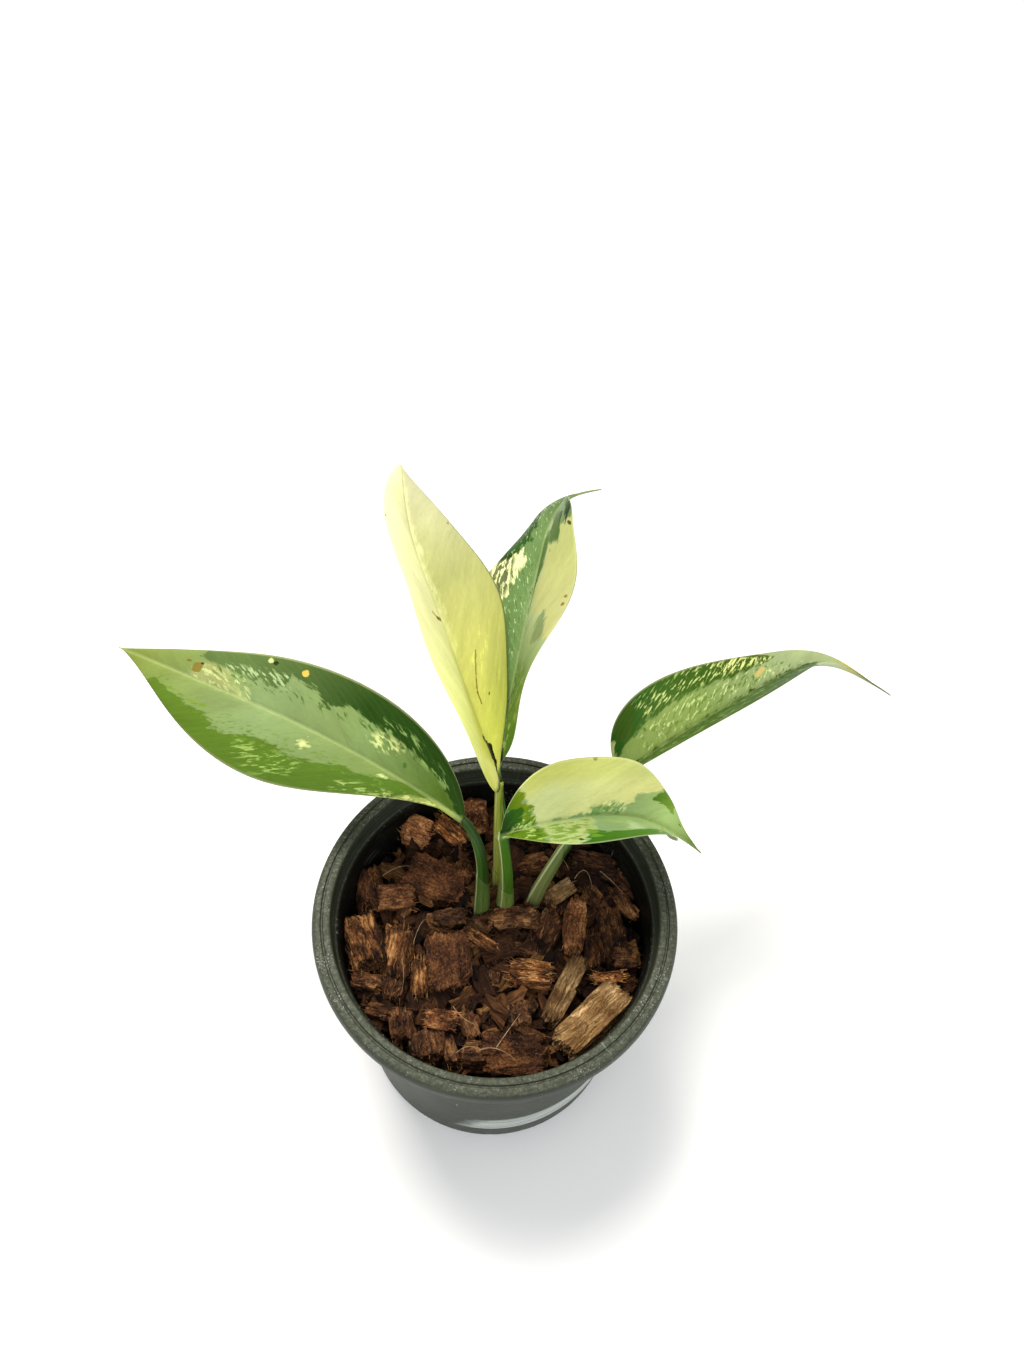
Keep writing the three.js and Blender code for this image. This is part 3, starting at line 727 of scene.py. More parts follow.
def husk_finish(kind, look):
    """Husk of one kind. Its tone is a mix of long fibres, which follow the chip's own length,
    and round grains of pith, with cracks along the fibres and pits between the grains painted
    dark as shade, and a few pale single fibres."""
    made, tree, shader = finish_of(
        "chopped_coconut_husk_" + kind, IOR=1.5, Specular_IOR_Level=0.2
    )
    grain = node(tree, "Attribute", output="Vector", attribute_name="grain")
    warp = node(tree, "TexNoise", {"Vector": grain, "Scale": 0.3, "Detail": 2.0}, output="Color")
    drift = node(tree, "VectorMath", {0: warp, "Scale": 2.6}, operation="SCALE")
    bent = node(tree, "VectorMath", {0: grain, 1: drift}, operation="ADD")
    rate = 1 / look["gap"]
    stretch = (look["run"] * rate, rate, rate)
    long = node(tree, "VectorMath", {0: bent, 1: stretch}, operation="MULTIPLY")
    fibre = node(tree, "TexNoise", {"Vector": long, "Scale": 1.0, "Detail": 4.0, "Roughness": 0.72})
    pith = node(tree, "TexNoise", {"Vector": bent, "Scale": 1.3, "Detail": 5.0, "Roughness": 0.75})
    cloud = node(tree, "TexNoise", {"Vector": grain, "Scale": 0.16, "Detail": 3.0})
    share = look["fibre"] / (look["fibre"] + look["grain"])
    level = node(tree, "Mix", {0: share, 2: pith, 3: fibre}, 0)
    level = node(tree, "Math", {0: cloud, 1: 0.6, 2: level}, operation="MULTIPLY_ADD")
    level = node(tree, "MapRange", {0: level, 1: 0.64, 2: 0.98})
    low_tone, middle_tone, high_tone = look["tones"]
    stops = [(0.08, low_tone), (0.95, high_tone), (0.5, middle_tone)]
    colour = node(tree, "ValToRGB", {"Fac": level}, stops=stops)

    # Pits 1 mm apart and cracks where a long noise is near its middle, both painted dark as shade,
    # and pale fibres.
    pits = node(tree, "TexVoronoi", {"Vector": bent, "Scale": 1.0, "Randomness": 1.0}, "Distance")
    pit = node(tree, "MapRange", {0: pits, 1: 0.2, 2: 0.06, 4: 0.8 * look["grain"]})
    crack_place = node(tree, "VectorMath", {0: bent, 1: (0.07, 0.6, 0.6)}, operation="MULTIPLY")
    crack = node(tree, "TexNoise", {"Vector": crack_place, "Scale": 1.0, "Detail": 2.0})
    crack = node(tree, "Math", {0: crack, 1: 0.5}, operation="SUBTRACT")
    crack = node(tree, "Math", {0: crack}, operation="ABSOLUTE")
    crack = node(tree, "MapRange", {0: crack, 1: 0.03, 2: 0.01, 4: 0.7 * look["fibre"]})
    thread_place = node(tree, "VectorMath", {0: bent, 1: (0.1, 2.4, 2.4)}, operation="MULTIPLY")
    single = node(tree, "TexNoise", {"Vector": thread_place, "Scale": 1.0, "Detail": 1.0})
    pale = node(tree, "MapRange", {0: single, 1: 0.65, 2: 0.72, 4: 0.5})
    thread = node(tree, "Attribute", output="Fac", attribute_name="thread")
    layers = [(pit, "#160c06"), (crack, "#150b05"), (pale, "#b58f5f"), (thread, high_tone)]
    for covered, tone in layers:
        colour = node(tree, "MixRGB", {"Fac": covered, "Color1": colour, "Color2": tone})
    lightness = node(tree, "Attribute", output="Fac", attribute_name="lightness")
    colour = node(tree, "VectorMath", {0: colour, "Scale": lightness}, operation="SCALE")
    tree.links.new(colour, shader["Base Color"])

    rough = node(tree, "MapRange", {0: level, 3: 0.95, 4: 0.8})
    tree.links.new(rough, shader["Roughness"])
    proud = 0.6 * look["grain"]
    raised = node(tree, "Math", {0: pits, 1: proud, 2: level}, operation="MULTIPLY_ADD")
    raised = node(tree, "Math", {0: crack, 1: -0.8, 2: raised}, operation="MULTIPLY_ADD")
    bump = node(tree, "Bump", {"Height": raised, "Distance": 0.9 * MM, "Strength": 1.0})
    tree.links.new(bump, shader["Normal"])
    return made


finishes = {kind: husk_finish(kind, look) for kind, look in HUSKS.items()}
skins = {steps: box_skin(steps) for steps in (LARGE_STEPS, SMALL_STEPS)}


def chip_shape(number, size, cube, rough):
    """A block with sharp edges: each cube point times the reach of a shape whose 16th powers
    add to one, times half the size, swollen by values shaken at 27 places, then cut flat at
    the corners by planes. The ends are torn, each fibre stopping at its own length, and the
    sides carry ridges, lumps, and long cracks where a noise that runs along them is zero.
    Rough scales the swelling, the cuts and the lumps, and a short chip has less relief."""
    reach = (np.abs(cube) ** SHARPNESS).sum(axis=1) ** (-1 / SHARPNESS)
    swell = np.zeros_like(cube)
    for corner in np.ndindex(3, 3, 3):
        weight = np.clip(1 - np.abs(cube - (np.array(corner) - 1)), 0, 1).prod(axis=1)
        at = 9 * corner[0] + 3 * corner[1] + corner[2]
        swell += weight[:, None] * shake(number, 3 * at + np.arange(3))
    points = cube * reach[:, None] * size / 2 * (1 + 0.26 * rough * swell)
    for cut in range(BLADE_CUTS):
        bearing = 2 * np.pi * shake(number, 90 + cut)
        normal = np.array([np.cos(bearing), np.sin(bearing), 0.9 * shake(number, 95 + cut)])
        normal /= np.linalg.norm(normal)
        taken = rough * (0.24 - 0.2 * shake(number, 100 + cut))
        depth = (np.abs(normal) * size / 2).sum() * (1 - taken)
        points -= np.maximum(points @ normal - depth, 0)[:, None] * normal
    own = points + 17.3 * number
    torn = noise(own * [0, 1, 1], 1.7, number) + 0.8 * noise(own * [0, 1, 1], 0.6, number + 5)
    tear = min(GREATEST_TEAR, TEAR_SHARE * size[0])
    points[:, 0] += np.sign(cube[:, 0]) * np.abs(cube[:, 0]) ** 8 * tear * torn
    ridge = noise(own, [10, 1.7, 1.7], number + 2) + 0.7 * noise(own, [5, 0.9, 0.9], number + 3)
    lumps = noise(own, 2.6, number + 7)
    cracks = np.exp(-((noise(own, [12, 2, 2], number + 9) / 0.05) ** 2))
    relief = np.clip(size[0] / FULL_RELIEF_LENGTH, 0.35, 1)
    relief = relief * (1.1 * ridge + 0.8 * rough * lumps - 0.9 * cracks)
    outward = points / (np.linalg.norm(points, axis=1, keepdims=True) + 1e-6)
    return points + outward * relief[:, None]


def end_threads(size, count):
    """Fibres that stick out of a chip's torn ends. Each starts in the last fifth of the
    length, mostly in the upper half, and curves out by 0.5 to 2.9 mm."""
    end = chance.choice([-1, 1], count)[:, None] * [1, 0, 0]
    foot = size * (end * chance.uniform(0.3, 0.5, (count, 1)))
    foot = foot + size * chance.uniform([0, -0.48, -0.3], [0, 0.48, 0.5], (count, 3))
    lean = end * chance.uniform(0.3, 1.9, (count, 1))
    lean = lean + chance.uniform([0, -0.8, -0.5], [0, 0.8, 0.8], (count, 3))
    radii = chance.uniform(0.05, 0.11, count)
    return tubes(foot, foot + lean * [1, 0.3, 0.3], foot + lean * [1.5, 1, 1], radii)


for number, row in enumerate(CHIPS, 1):
    x, y, height, length, width, turn, pitch, bank, kind, lightness = row
    size = np.array([length, width, THICKNESS[0] + THICKNESS[1] * width])
    cube, cube_faces = skins[LARGE_STEPS if length > LARGE_CHIP else SMALL_STEPS]
    local = chip_shape(number, size, cube, HUSKS[kind]["rough"])
    hair = end_threads(size, HUSKS[kind]["threads"])
    points, faces = joined([(local, cube_faces.tolist()), hair])
    middle = np.array([x, y, height - size[2] / 2])
    settled = within_wall(turned_by(points, turn, pitch, bank) + middle, 0.2)
    chip = make_piece(f"husk_chip_{number:02d}", settled, faces, finishes[kind])
    chip.data.set_sharp_from_angle(angle=np.radians(35))
    give(chip, "grain", points + 31.7 * number)
    give(chip, "thread", np.repeat([0.0, 1.0], [len(local), len(hair[0])]))
    give(chip, "lightness", np.full(len(points), lightness))
    face_outwards(chip)
    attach(chip, "root")
    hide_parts(f"chip_{number:02d}")


# Loose coir
# Single fibres of the husk that have come away and lie across the chips, fixed to nothing.

# Start, middle and end, in mm, and the radius.
COIR = [
    [(0.5, -44, 79), (5, -38, 84), (9.8, -29.5, 80), 0.15],
    [(-3.5, -42.5, 80), (2, -40, 85), (9.5, -45, 81), 0.13],
    [(-10, -43, 79), (-6, -40, 83), (-2, -42, 80), 0.1],
    [(27, 20, 78), (31, 26, 82), (33, 17, 79), 0.1],
    [(20, 24, 77), (22, 30, 81), (25, 23, 78), 0.09],
    [(-27, -8, 79), (-25, 0, 84), (-23, 1, 79), 0.08],
    [(-12, -28, 79), (-8, -34, 81), (-3, -34, 80), 0.09],
    [(-40, 16, 80), (-34, 20, 83), (-30, 20, 80), 0.08],
    [(-30, -14, 81), (-28, -20, 83), (-29, -25, 79), 0.08],
    [(36, 24, 77), (41, 18, 81), (44, 15, 78), 0.09],
]

# Dry coir: a dull pale straw brown that goes darker and lighter along each fibre.
coir, tree, shader = finish_of("dry_coir_fibre", Roughness=0.6)
where = node(tree, "TexCoord", output="Object")
along_fibre = node(tree, "TexNoise", {"Vector": where, "Scale": 900.0, "Detail": 3.0})
colour = node(tree, "ValToRGB", {"Fac": along_fibre}, stops=[(0.3, "#7d5f3a"), (0.7, "#cdb78e")])
tree.links.new(colour, shader["Base Color"])
rows = [np.array([row[part] for row in COIR], float) for part in range(3)]
radii = np.array([row[3] for row in COIR])
fibres = make_piece("loose_coir_fibres", *tubes(*rows, radii, sides=6, steps=14), coir)
face_outwards(fibres)
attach(fibres, "root")


# Leaf stalks
# Five living stalks in three shoots. Each is a juicy round stem with a shallow channel on its
# upper side, held at the foot by a thin pale sheath, and it runs on into the blade's midrib.
STALK_STEPS = 90
STALK_SIDES = 28

# The four points of a Bezier curve, and the radius at the foot and at the blade. The tones are
# those of the left and right flank as seen from the front, painted light and shade included,
# and of the foot. Edge is where the flanks meet, from -1 at the right to 1 at the left. Sheath
# is the height in mm along the stalk at which the sheath ends, and line is the place of a thin
# pale line along the stalk.
STALKS = {
    "left": {
        "points": [(-5, 8.5, 60), (-5.4, 8.5, 90), (-2.5, 11, 113), (-12, 20.5, 114)],
        "radius": (2.6, 1.5),
        "tones": ("#355719", "#24400f", "#5f7338"),
        "edge": 0.0, "sheath": 36, "line": 0.82,
    },
    "centre": {
        "points": [(0.4, 18, 60), (-0.4, 17.8, 85), (-1, 21, 112), (-1, 25, 131)],
        "radius": (1.5, 1.3),
        "tones": ("#a3ad42", "#86982f", "#8f994a"),
        "edge": -0.4, "sheath": 24, "line": 0.6,
    },
    "rear": {
        "points": [(4.4, 18.2, 60), (3.6, 19.5, 85), (0.6, 25, 112), (-2.5, 31, 131)],
        "radius": (1.5, 1.3),
        "tones": ("#1c3808", "#3a7012", "#5f7a30"),
        "edge": 0.25, "sheath": 26, "line": -0.5,
    },
    "front": {
        "points": [(2.8, 11.8, 60), (3.2, 9.5, 82), (3.4, 6.5, 108), (0.5, 9, 126.5)],
        "radius": (3.1, 1.7),
        "tones": ("#78833f", "#3f6a18", "#788a42"),
        "edge": 0.35, "sheath": 33, "line": 0.45,
    },
    "right": {
        "points": [(10.5, 11.5, 60), (13, 12, 82), (22, 22, 104), (40.5, 46, 106.5)],
        "radius": (2.5, 1.4),
        "tones": ("#556a30", "#28440f", "#6c7240"),
        "edge": 0.1, "sheath": 38, "line": 0.9,
    },
}


def stalk_finish(name, look):
    """Living stalk. Each flank has the green it shows from the front, painted light and shade
    included, the sheath lightens the lower part and ends in a dark line of painted shadow that
    slants round the stalk, a thin pale line runs along it, and fine streaks and brown specks run
    lengthwise."""
    made, tree, shader = finish_of(
        "living_leaf_stalk_" + name,
        Roughness=0.42,
        IOR=1.42,
        Specular_IOR_Level=0.35,
        Subsurface_Weight=0.05,
        Subsurface_Scale=0.0015,
    )
    grain = node(tree, "Attribute", output="Vector", attribute_name="grain")
    side = node(tree, "SeparateXYZ", {0: grain}, output="X")
    rise = node(tree, "SeparateXYZ", {0: grain}, output="Z")
    long = node(tree, "VectorMath", {0: grain, 1: (4.5, 4.5, 0.09)}, operation="MULTIPLY")
    streak = node(tree, "TexNoise", {"Vector": long, "Scale": 1.0, "Detail": 3.0, "Roughness": 0.6})
    short = node(tree, "VectorMath", {0: grain, 1: (3.0, 3.0, 0.7)}, operation="MULTIPLY")
    fleck = node(tree, "TexNoise", {"Vector": short, "Scale": 1.0, "Detail": 3.0})
    # The flank tones, as seen from the front, carry painted light and shade.
    left_tone, right_tone, foot_tone = look["tones"]
    stray = node(tree, "Math", {0: streak, 1: 0.9, 2: side}, operation="MULTIPLY_ADD")
    edge = look["edge"] + 0.45
    flank = node(tree, "MapRange", {0: stray, 1: edge - 0.18, 2: edge + 0.18})
    colour = node(tree, "MixRGB", {"Fac": flank, "Color1": right_tone, "Color2": left_tone})

    # The sheath and the paler foot under it.
    slanted = node(tree, "Math", {0: side, 1: -3.0, 2: rise}, operation="MULTIPLY_ADD")
    end = look["sheath"]
    sheath = node(tree, "MapRange", {0: slanted, 1: end + 0.2, 2: end - 0.2, 4: 0.45})
    ragged = node(tree, "Math", {0: fleck, 1: 9.0, 2: rise}, operation="MULTIPLY_ADD")
    foot = node(tree, "MapRange", {0: ragged, 1: end + 2.0, 2: 20.0, 4: 0.5})
    pale = node(tree, "Math", {0: sheath, 1: foot}, operation="ADD", use_clamp=True)
    colour = node(tree, "MixRGB", {"Fac": pale, "Color1": colour, "Color2": foot_tone})
    shade = node(tree, "MapRange", {0: streak, 1: 0.3, 2: 0.7, 3: 0.72, 4: 1.22})
    colour = node(tree, "VectorMath", {0: colour, "Scale": shade}, operation="SCALE")

    # The painted shadow just above the sheath, a thin pale line along the stalk, and the brown
    # specks. A line is where it lies, how far it is full and where it ends, how strong it is, and
    # its tone.
    painted_shadow_above_sheath = (slanted, end + 0.5, 0.15, 0.5, 0.6, "#26370f")
    pale_line = (side, look["line"], 0.04, 0.1, 0.65, "#ccd59c")
    for across, place, full, none, most, tone in (painted_shadow_above_sheath, pale_line):
        off = node(tree, "Math", {0: across, 1: place}, operation="SUBTRACT")
        off = node(tree, "Math", {0: off}, operation="ABSOLUTE")
        line = node(tree, "MapRange", {0: off, 1: none, 2: full, 4: most})
        colour = node(tree, "MixRGB", {"Fac": line, "Color1": colour, "Color2": tone})
    speck = node(tree, "TexNoise", {"Vector": short, "Scale": 1.7, "Detail": 2.0})
    speck = node(tree, "MapRange", {0: speck, 1: 0.68, 2: 0.74, 4: 0.5})
    colour = node(tree, "MixRGB", {"Fac": speck, "Color1": colour, "Color2": "#7a5c30"})
    tree.links.new(colour, shader["Base Color"])
    bump = node(tree, "Bump", {"Height": streak, "Distance": 0.25 * MM, "Strength": 0.7})
    tree.links.new(bump, shader["Normal"])
    return made


def stalk_shape(look):
    """A tube along a Bezier curve. Its radius goes evenly from foot to blade, swells by a
    tenth at the foot, is 0.2 mm more below the slanted end of the sheath, and is pressed in
    by a shallow channel on the upper side. Returns the rings and, for each point, the two
    parts of its direction from the middle and its length along the stalk."""
    along = np.linspace(0, 1, STALK_STEPS)[:, None]
    a, b, c, d = np.array(look["points"], float)
    path = (1 - along) ** 3 * a + 3 * along * (1 - along) ** 2 * b
    path = path + 3 * along**2 * (1 - along) * c + along**3 * d
    ahead = np.gradient(path, axis=0)
    run = np.cumsum(np.linalg.norm(ahead, axis=1))[:, None]
    ahead /= np.linalg.norm(ahead, axis=1, keepdims=True)
    across = np.cross(ahead, [0.0, 1.0, 0.0])
    across /= np.linalg.norm(across, axis=1, keepdims=True)
    over = np.cross(across, ahead)
    turn = np.linspace(0, 2 * np.pi, STALK_SIDES, endpoint=False)
    foot_radius, blade_radius = look["radius"]
    thick = foot_radius + (blade_radius - foot_radius) * along
    thick = thick * (1 + 0.1 * np.exp(-(((along - 0.2) / 0.14) ** 2)))
    below = np.clip((look["sheath"] + 3 * np.cos(turn) - run) / 0.8, 0, 1)
    channel = 1 - 0.14 * np.exp(-(((turn - np.pi / 2) / 0.45) ** 2)) * np.clip(along * 3, 0, 1)
    radius = thick * channel + 0.2 * below
    rings = path[:, None] + radius[..., None] * (
        across[:, None] * np.cos(turn)[:, None] - over[:, None] * np.sin(turn)[:, None]
    )
    directions = [np.cos(turn) + 0 * run, np.sin(turn) + 0 * run, run + 0 * turn]
    return rings, np.stack(directions, -1)


def with_ends(values):
    """Values on a stack of rings in the order that skin() gives the points."""
    return np.concatenate([values.reshape(-1, values.shape[-1]), values[[0, -1]].mean(axis=1)])


for name, look in STALKS.items():
    rings, directions = stalk_shape(look)
    stalk = make_piece("stalk_" + name + "_living", *skin(rings), stalk_finish(name, look))
    give(stalk, "grain", with_ends(directions))
    face_outwards(stalk)
    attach(stalk, "root")
    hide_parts("stalk_" + name)


# Leaf blades
# Five living blades, about half a millimetre thick, firm and leathery, with a sunken midrib
# and side veins that sweep to the tip. The plant is variegated: parts of each blade have
# little or no green, in patches, streaks and flecks that follow the side veins.

# The rows are along the blade, and each half has its points crowded towards the midrib by a
# power. Channel and keel are the depth and half width in mm of the sunken midrib above and of
# its rounded back. The tip's bend goes between two shares of the length. A rounded tip is the
# root of what is left of the length times the first number, plus the second, in mm. The pale
# margin is the outer part of each half, from one share of it to the other, and fades between
# two shares of the length. Outlines are drawn on a flat blade with the half width given.
BLADE_ROWS = 150
BLADE_HALF = 30
BLADE_CROWDING = 1.3
BLADE_THICK = 0.55
CHANNEL = (0.35, 0.8)
KEEL = (1.3, 1.3)
TIP_BEND = (0.58, 0.88)
TIP_ROUNDING = (1.2, 0.15)
MARGIN = (0.972, 1.0)
MARGIN_FADES = (0.7, 0.85)
FLAT_HALF = 20
VEIN_SPACING = 4

# Each blade has its base point, length, and the heading, rise and roll of its midrib in
# degrees: the value at the base, the even change to the tip and the extra bend of the tip. A
# side is its greatest half width, how it narrows to base and tip, its fold from level, its
# curl, and a pinch: the share of the width lost, and from where to where. A ripple is the
# height in mm, the waves along the blade and the phase. Ground is the colour along the blade.
# A patch is its colour at the start and end of a stretch of the blade, how soft its edge is
# in mm, and its outline. A speckle is a colour, the share covered, the length and width of a
# fleck in mm, and an outline. A mark is a line from one place to another, its radius in mm
# and its colour. Places are shares of the length and of the half width, positive on the right
# as seen from the base.
BLADES = {
    "left": {
        "base": (-12, 20.5, 114),
        "length": 129,
        "heading": (154, 10, 0),
        "rise": (19, -23, 10),
        "roll": (22, 5),
        "sides": ((22.5, 1.85, 1.4, 7, 14, 0, 0.7, 0.9), (21, 0.75, 1.2, 13, 7, 0, 0.7, 0.9)),
        "ripple": (1, 1.8, -0.2),
        "ground": [(0.1, "#687c3b"), (0.6, "#7c915d"), (0.95, "#76853c")],
        "patches": [
            (("#47621d", "#768d55"), (0.08, 0.34), 2.5, [
                (0, 0.02), (0.05, 0.01), (0.34, 0.04), (0.36, 0.3), (0.34, 0.55), (0, 0.7),
            ]),
            (("#8b9a4c", "#8a9450"), (0.05, 0.2), 1.2, [
                (0.02, 0.05), (0.06, 0.05), (0.1, -0.05), (0.1, -0.3), (0.12, -0.55), (0.17, -0.8),
                (0.19, -0.95), (0.17, -1.2), (0.02, -1.2),
            ]),
            # Deep green, paler towards the tip: painted reflection of the gloss on the real dark
            # green.
            (("#193a0d", "#556b39"), (0.35, 0.65), 0.35, [
                (0.02, 0.15), (0.05, 0.35), (0.1, 0.5), (0.15, 0.52), (0.2, 0.6), (0.215, 0.5),
                (0.25, 0.5), (0.3, 0.52), (0.33, 0.57), (0.4, 0.58), (0.405, 0.5), (0.43, 0.43),
                (0.455, 0.47), (0.48, 0.6), (0.545, 0.72), (0.555, 0.65), (0.55, 0.5),
                (0.575, 0.42), (0.6, 0.42), (0.62, 0.5), (0.64, 0.4), (0.67, 0.42), (0.7, 0.5),
                (0.76, 0.62), (0.775, 0.7), (0.79, 0.8), (0.78, 1.2), (0, 1.2),
            ]),
            (("#4c6921", "#547021"), (0.3, 0.8), 0.35, [
                (0.1, 0), (0.16, 0), (0.19, -0.1), (0.24, -0.3), (0.3, -0.47), (0.31, -0.35),
                (0.36, -0.4), (0.4, -0.48), (0.5, -0.5), (0.51, -0.43), (0.6, -0.42),
                (0.61, -0.52), (0.7, -0.65), (0.695, -0.48), (0.75, -0.5), (0.8, -0.56),
                (0.88, -0.55), (0.92, -1.2), (0.2, -1.2), (0.17, -0.7), (0.12, -0.35),
            ]),
            (("#6d8c2c", "#6d8c2c"), (0, 1), 0.3, [
                (0.725, -0.38), (0.74, -0.37), (0.775, -0.45), (0.76, -0.48), (0.73, -0.44),
            ]),
            (("#5c7139", "#6b844c"), (0.2, 0.3), 1.5, [
                (0.215, 0.45), (0.225, 0.5), (0.28, 0.47), (0.29, 0.38), (0.28, 0.32),
                (0.315, 0.3), (0.3, 0.27), (0.26, 0.2), (0.235, 0.3), (0.23, 0.4),
            ]),
            (("#b9c57a", "#949a5f"), (0.64, 0.72), 1.6, [
                (0.64, 0.05), (0.66, 0.12), (0.69, 0.22), (0.7, 0.38), (0.71, 0.5), (0.76, 0.6),
                (0.79, 0.5), (0.8, 0.3), (0.8, 0.05), (0.72, 0.03),
            ]),
            (("#c3cc86", "#c3cc86"), (0, 1), 0.5, [
                (0.43, -0.25), (0.45, -0.19), (0.47, -0.25), (0.45, -0.3),
            ]),
            (("#b5c47c", "#b5c47c"), (0, 1), 0.5, [
                (0.22, -0.22), (0.24, -0.2), (0.25, -0.3), (0.225, -0.3),
            ]),
        ],
        "speckles": [
            ("#98b060", 0.35, (3, 1.2), [
                (0.19, -0.68), (0.26, -0.6), (0.33, -0.68), (0.34, -0.9), (0.26, -1), (0.2, -0.9),
            ]),
            ("#93ad58", 0.35, (3, 1.1), [
                (0.43, -0.55), (0.52, -0.5), (0.62, -0.55), (0.63, -0.8), (0.55, -0.95), (0.45, -0.8),
            ]),
            ("#7f9a58", 0.35, (4, 1.4), [
                (0.04, 0.45), (0.3, 0.5), (0.3, 0.72), (0.2, 0.8), (0.05, 0.7),
            ]),
            ("#a9bd85", 0.4, (3, 1.2), [
                (0.54, 0.45), (0.72, 0.5), (0.72, 0.68), (0.55, 0.74),
            ]),
            ("#c4cd84", 0.48, (2, 1.3), [
                (0.215, 0.47), (0.225, 0.55), (0.29, 0.5), (0.32, 0.32), (0.28, 0.2), (0.235, 0.3),
            ]),
            ("#c4cb7c", 0.5, (2, 1.2), [
                (0.06, -0.5), (0.1, -0.4), (0.17, -0.7), (0.24, -0.9), (0.22, -1.1), (0.1, -1.1),
            ]),
            ("#c3cd88", 0.3, (2, 1.1), [(0.62, 0.02), (0.8, 0.02), (0.78, 0.55), (0.66, 0.4)]),
            ("#5f7f2a", 0.22, (2, 1), [
                (0.1, -0.3), (0.2, -0.2), (0.5, -0.25), (0.9, -0.3), (0.9, -0.6), (0.1, -0.6),
            ]),
            ("#3d5a20", 0.26, (2.4, 1.1), [
                (0.1, 0.3), (0.2, 0.38), (0.3, 0.4), (0.45, 0.32), (0.58, 0.3), (0.75, 0.35),
                (0.75, 0.6), (0.6, 0.5), (0.45, 0.5), (0.3, 0.6), (0.1, 0.55),
            ]),
        ],
        "marks": [
            (0.522, 0.8, 0.524, 0.82, 1, "#d9b653"),
            (0.6, 0.855, 0.602, 0.865, 0.7, "#1c2410"),
            (0.615, 0.88, 0.617, 0.9, 0.8, "#c9cf8a"),
            (0.197, 0.25, 0.199, 0.27, 0.7, "#3f5f26"),
            (0.79, 0.28, 0.788, 0.48, 1.5, "#7a6a26"),
            (0.815, 0.54, 0.816, 0.56, 0.8, "#6f6420"),
            (0.78, 0.52, 0.781, 0.54, 0.6, "#23240f"),
        ],
    },
    "centre": {
        "base": (-1, 25, 131),
        "length": 111,
        "heading": (128, -14, -15),
        "rise": (60, -40, -20),
        "roll": (-36, 6),
        "sides": ((20.5, 0.4, 0.75, 33, 10, 0, 0.7, 0.9), (21.5, 1.35, 1.35, 31, 9, 0, 0.7, 0.9)),
        "ripple": (-0.7, 2.6, 0.1),
        "ground": [(0.15, "#d7d95d"), (0.35, "#c8c767"), (0.6, "#acae6b"), (0.9, "#b0af8a")],
        "patches": [
            (("#e3e881", "#eeeeb3"), (0.2, 0.6), 3, [
                (0.22, -0.5), (0.3, -0.3), (0.42, -0.05), (0.5, -0.02), (1, -0.02), (1, -1.2),
                (0.12, -1.2), (0.15, -0.75),
            ]),
            # Green across the foot, nearly black at the very base: painted shade where it meets the
            # stalks.
            (("#0d240d", "#84982a"), (0, 0.06), 1, [
                (-0.1, -1.2), (0.035, -1.2), (0.035, 1.2), (-0.1, 1.2),
            ]),
            # Black stripe: a painted shadow across the base of the blade.
            (("#0d0d0d", "#0d0d0d"), (0.05, 0.17), 0.3, [
                (0.04, 0.35), (0.07, 0.42), (0.12, 0.18), (0.15, 0.02), (0.18, -0.3), (0.17, -0.35),
                (0.14, -0.15), (0.1, 0), (0.06, 0.12), (0.035, 0.22),
            ]),
        ],
        "speckles": [
            ("#dddb6c", 0.15, (6, 2), [(0.1, 0.3), (0.4, 0.2), (0.5, 0.5), (0.4, 0.9), (0.1, 0.9)]),
        ],
        "marks": [
            (0.245, 0.21, 0.28, 0.18, 0.28, "#7a6a1e"),
            (0.28, 0.18, 0.33, 0.25, 0.28, "#7a6a1e"),
            (0.33, 0.25, 0.39, 0.35, 0.28, "#8a7a2e"),
            (0.508, -0.24, 0.53, -0.4, 0.45, "#b09a60"),
            (0.503, -0.05, 0.51, -0.25, 0.6, "#7a4a28"),
            (0.51, -0.24, 0.511, -0.26, 0.55, "#3b1a10"),
            (0.775, 0.9, 0.776, 0.91, 0.4, "#8a7040"),
            (0.26, 0.43, 0.261, 0.44, 0.4, "#7a6a30"),
            (0.765, -0.96, 0.766, -0.97, 0.4, "#8a7040"),
        ],
    },
    "rear": {
        "base": (-2.5, 31, 131),
        "length": 116,
        "heading": (77, 3, -25),
        "rise": (52, -34, -50),
        "roll": (49, 1),
        "sides": ((19, 0.85, 1.3, 25, 6, 1, 0.74, 0.9), (19, 0.9, 1.1, 19, 10, 1, 0.67, 0.81)),
        "ripple": (-4.8, 1.8, 0),
        "ground": [(0.1, "#566f36"), (0.35, "#63804a"), (0.7, "#5c7746"), (0.86, "#465a26")],
        "patches": [
            (("#7b8d61", "#a1ad81"), (0.3, 0.45), 2.5, [
                (0.29, 0.02), (0.5, 0.02), (0.6, 0.1), (0.6, 0.9), (0.45, 1.2), (0.27, 1.2),
            ]),
            (("#4f7028", "#5d7945"), (0.1, 0.3), 2, [
                (-0.1, 0), (0.27, 0), (0.29, 0.3), (0.27, 1.2), (-0.1, 1.2),
            ]),
            (("#456326", "#456326"), (0, 1), 0.4, [
                (0.43, 0), (0.5, 0.1), (0.55, 0.24), (0.6, 0.25), (0.64, 0.2), (0.64, 0),
            ]),
            (("#a8a871", "#a9ad6d"), (0.4, 0.6), 0.5, [
                (0.375, 1.2), (0.37, 0.9), (0.385, 0.75), (0.43, 0.62), (0.435, 0.45), (0.42, 0.2),
                (0.46, 0.15), (0.5, 0.12), (0.53, 0.2), (0.56, 0.25), (0.615, 0.28), (0.62, 0.58),
                (0.655, 0.6), (0.66, 0.75), (0.665, 0.85), (0.66, 1.2),
            ]),
            (("#728055", "#728055"), (0, 1), 0.5, [
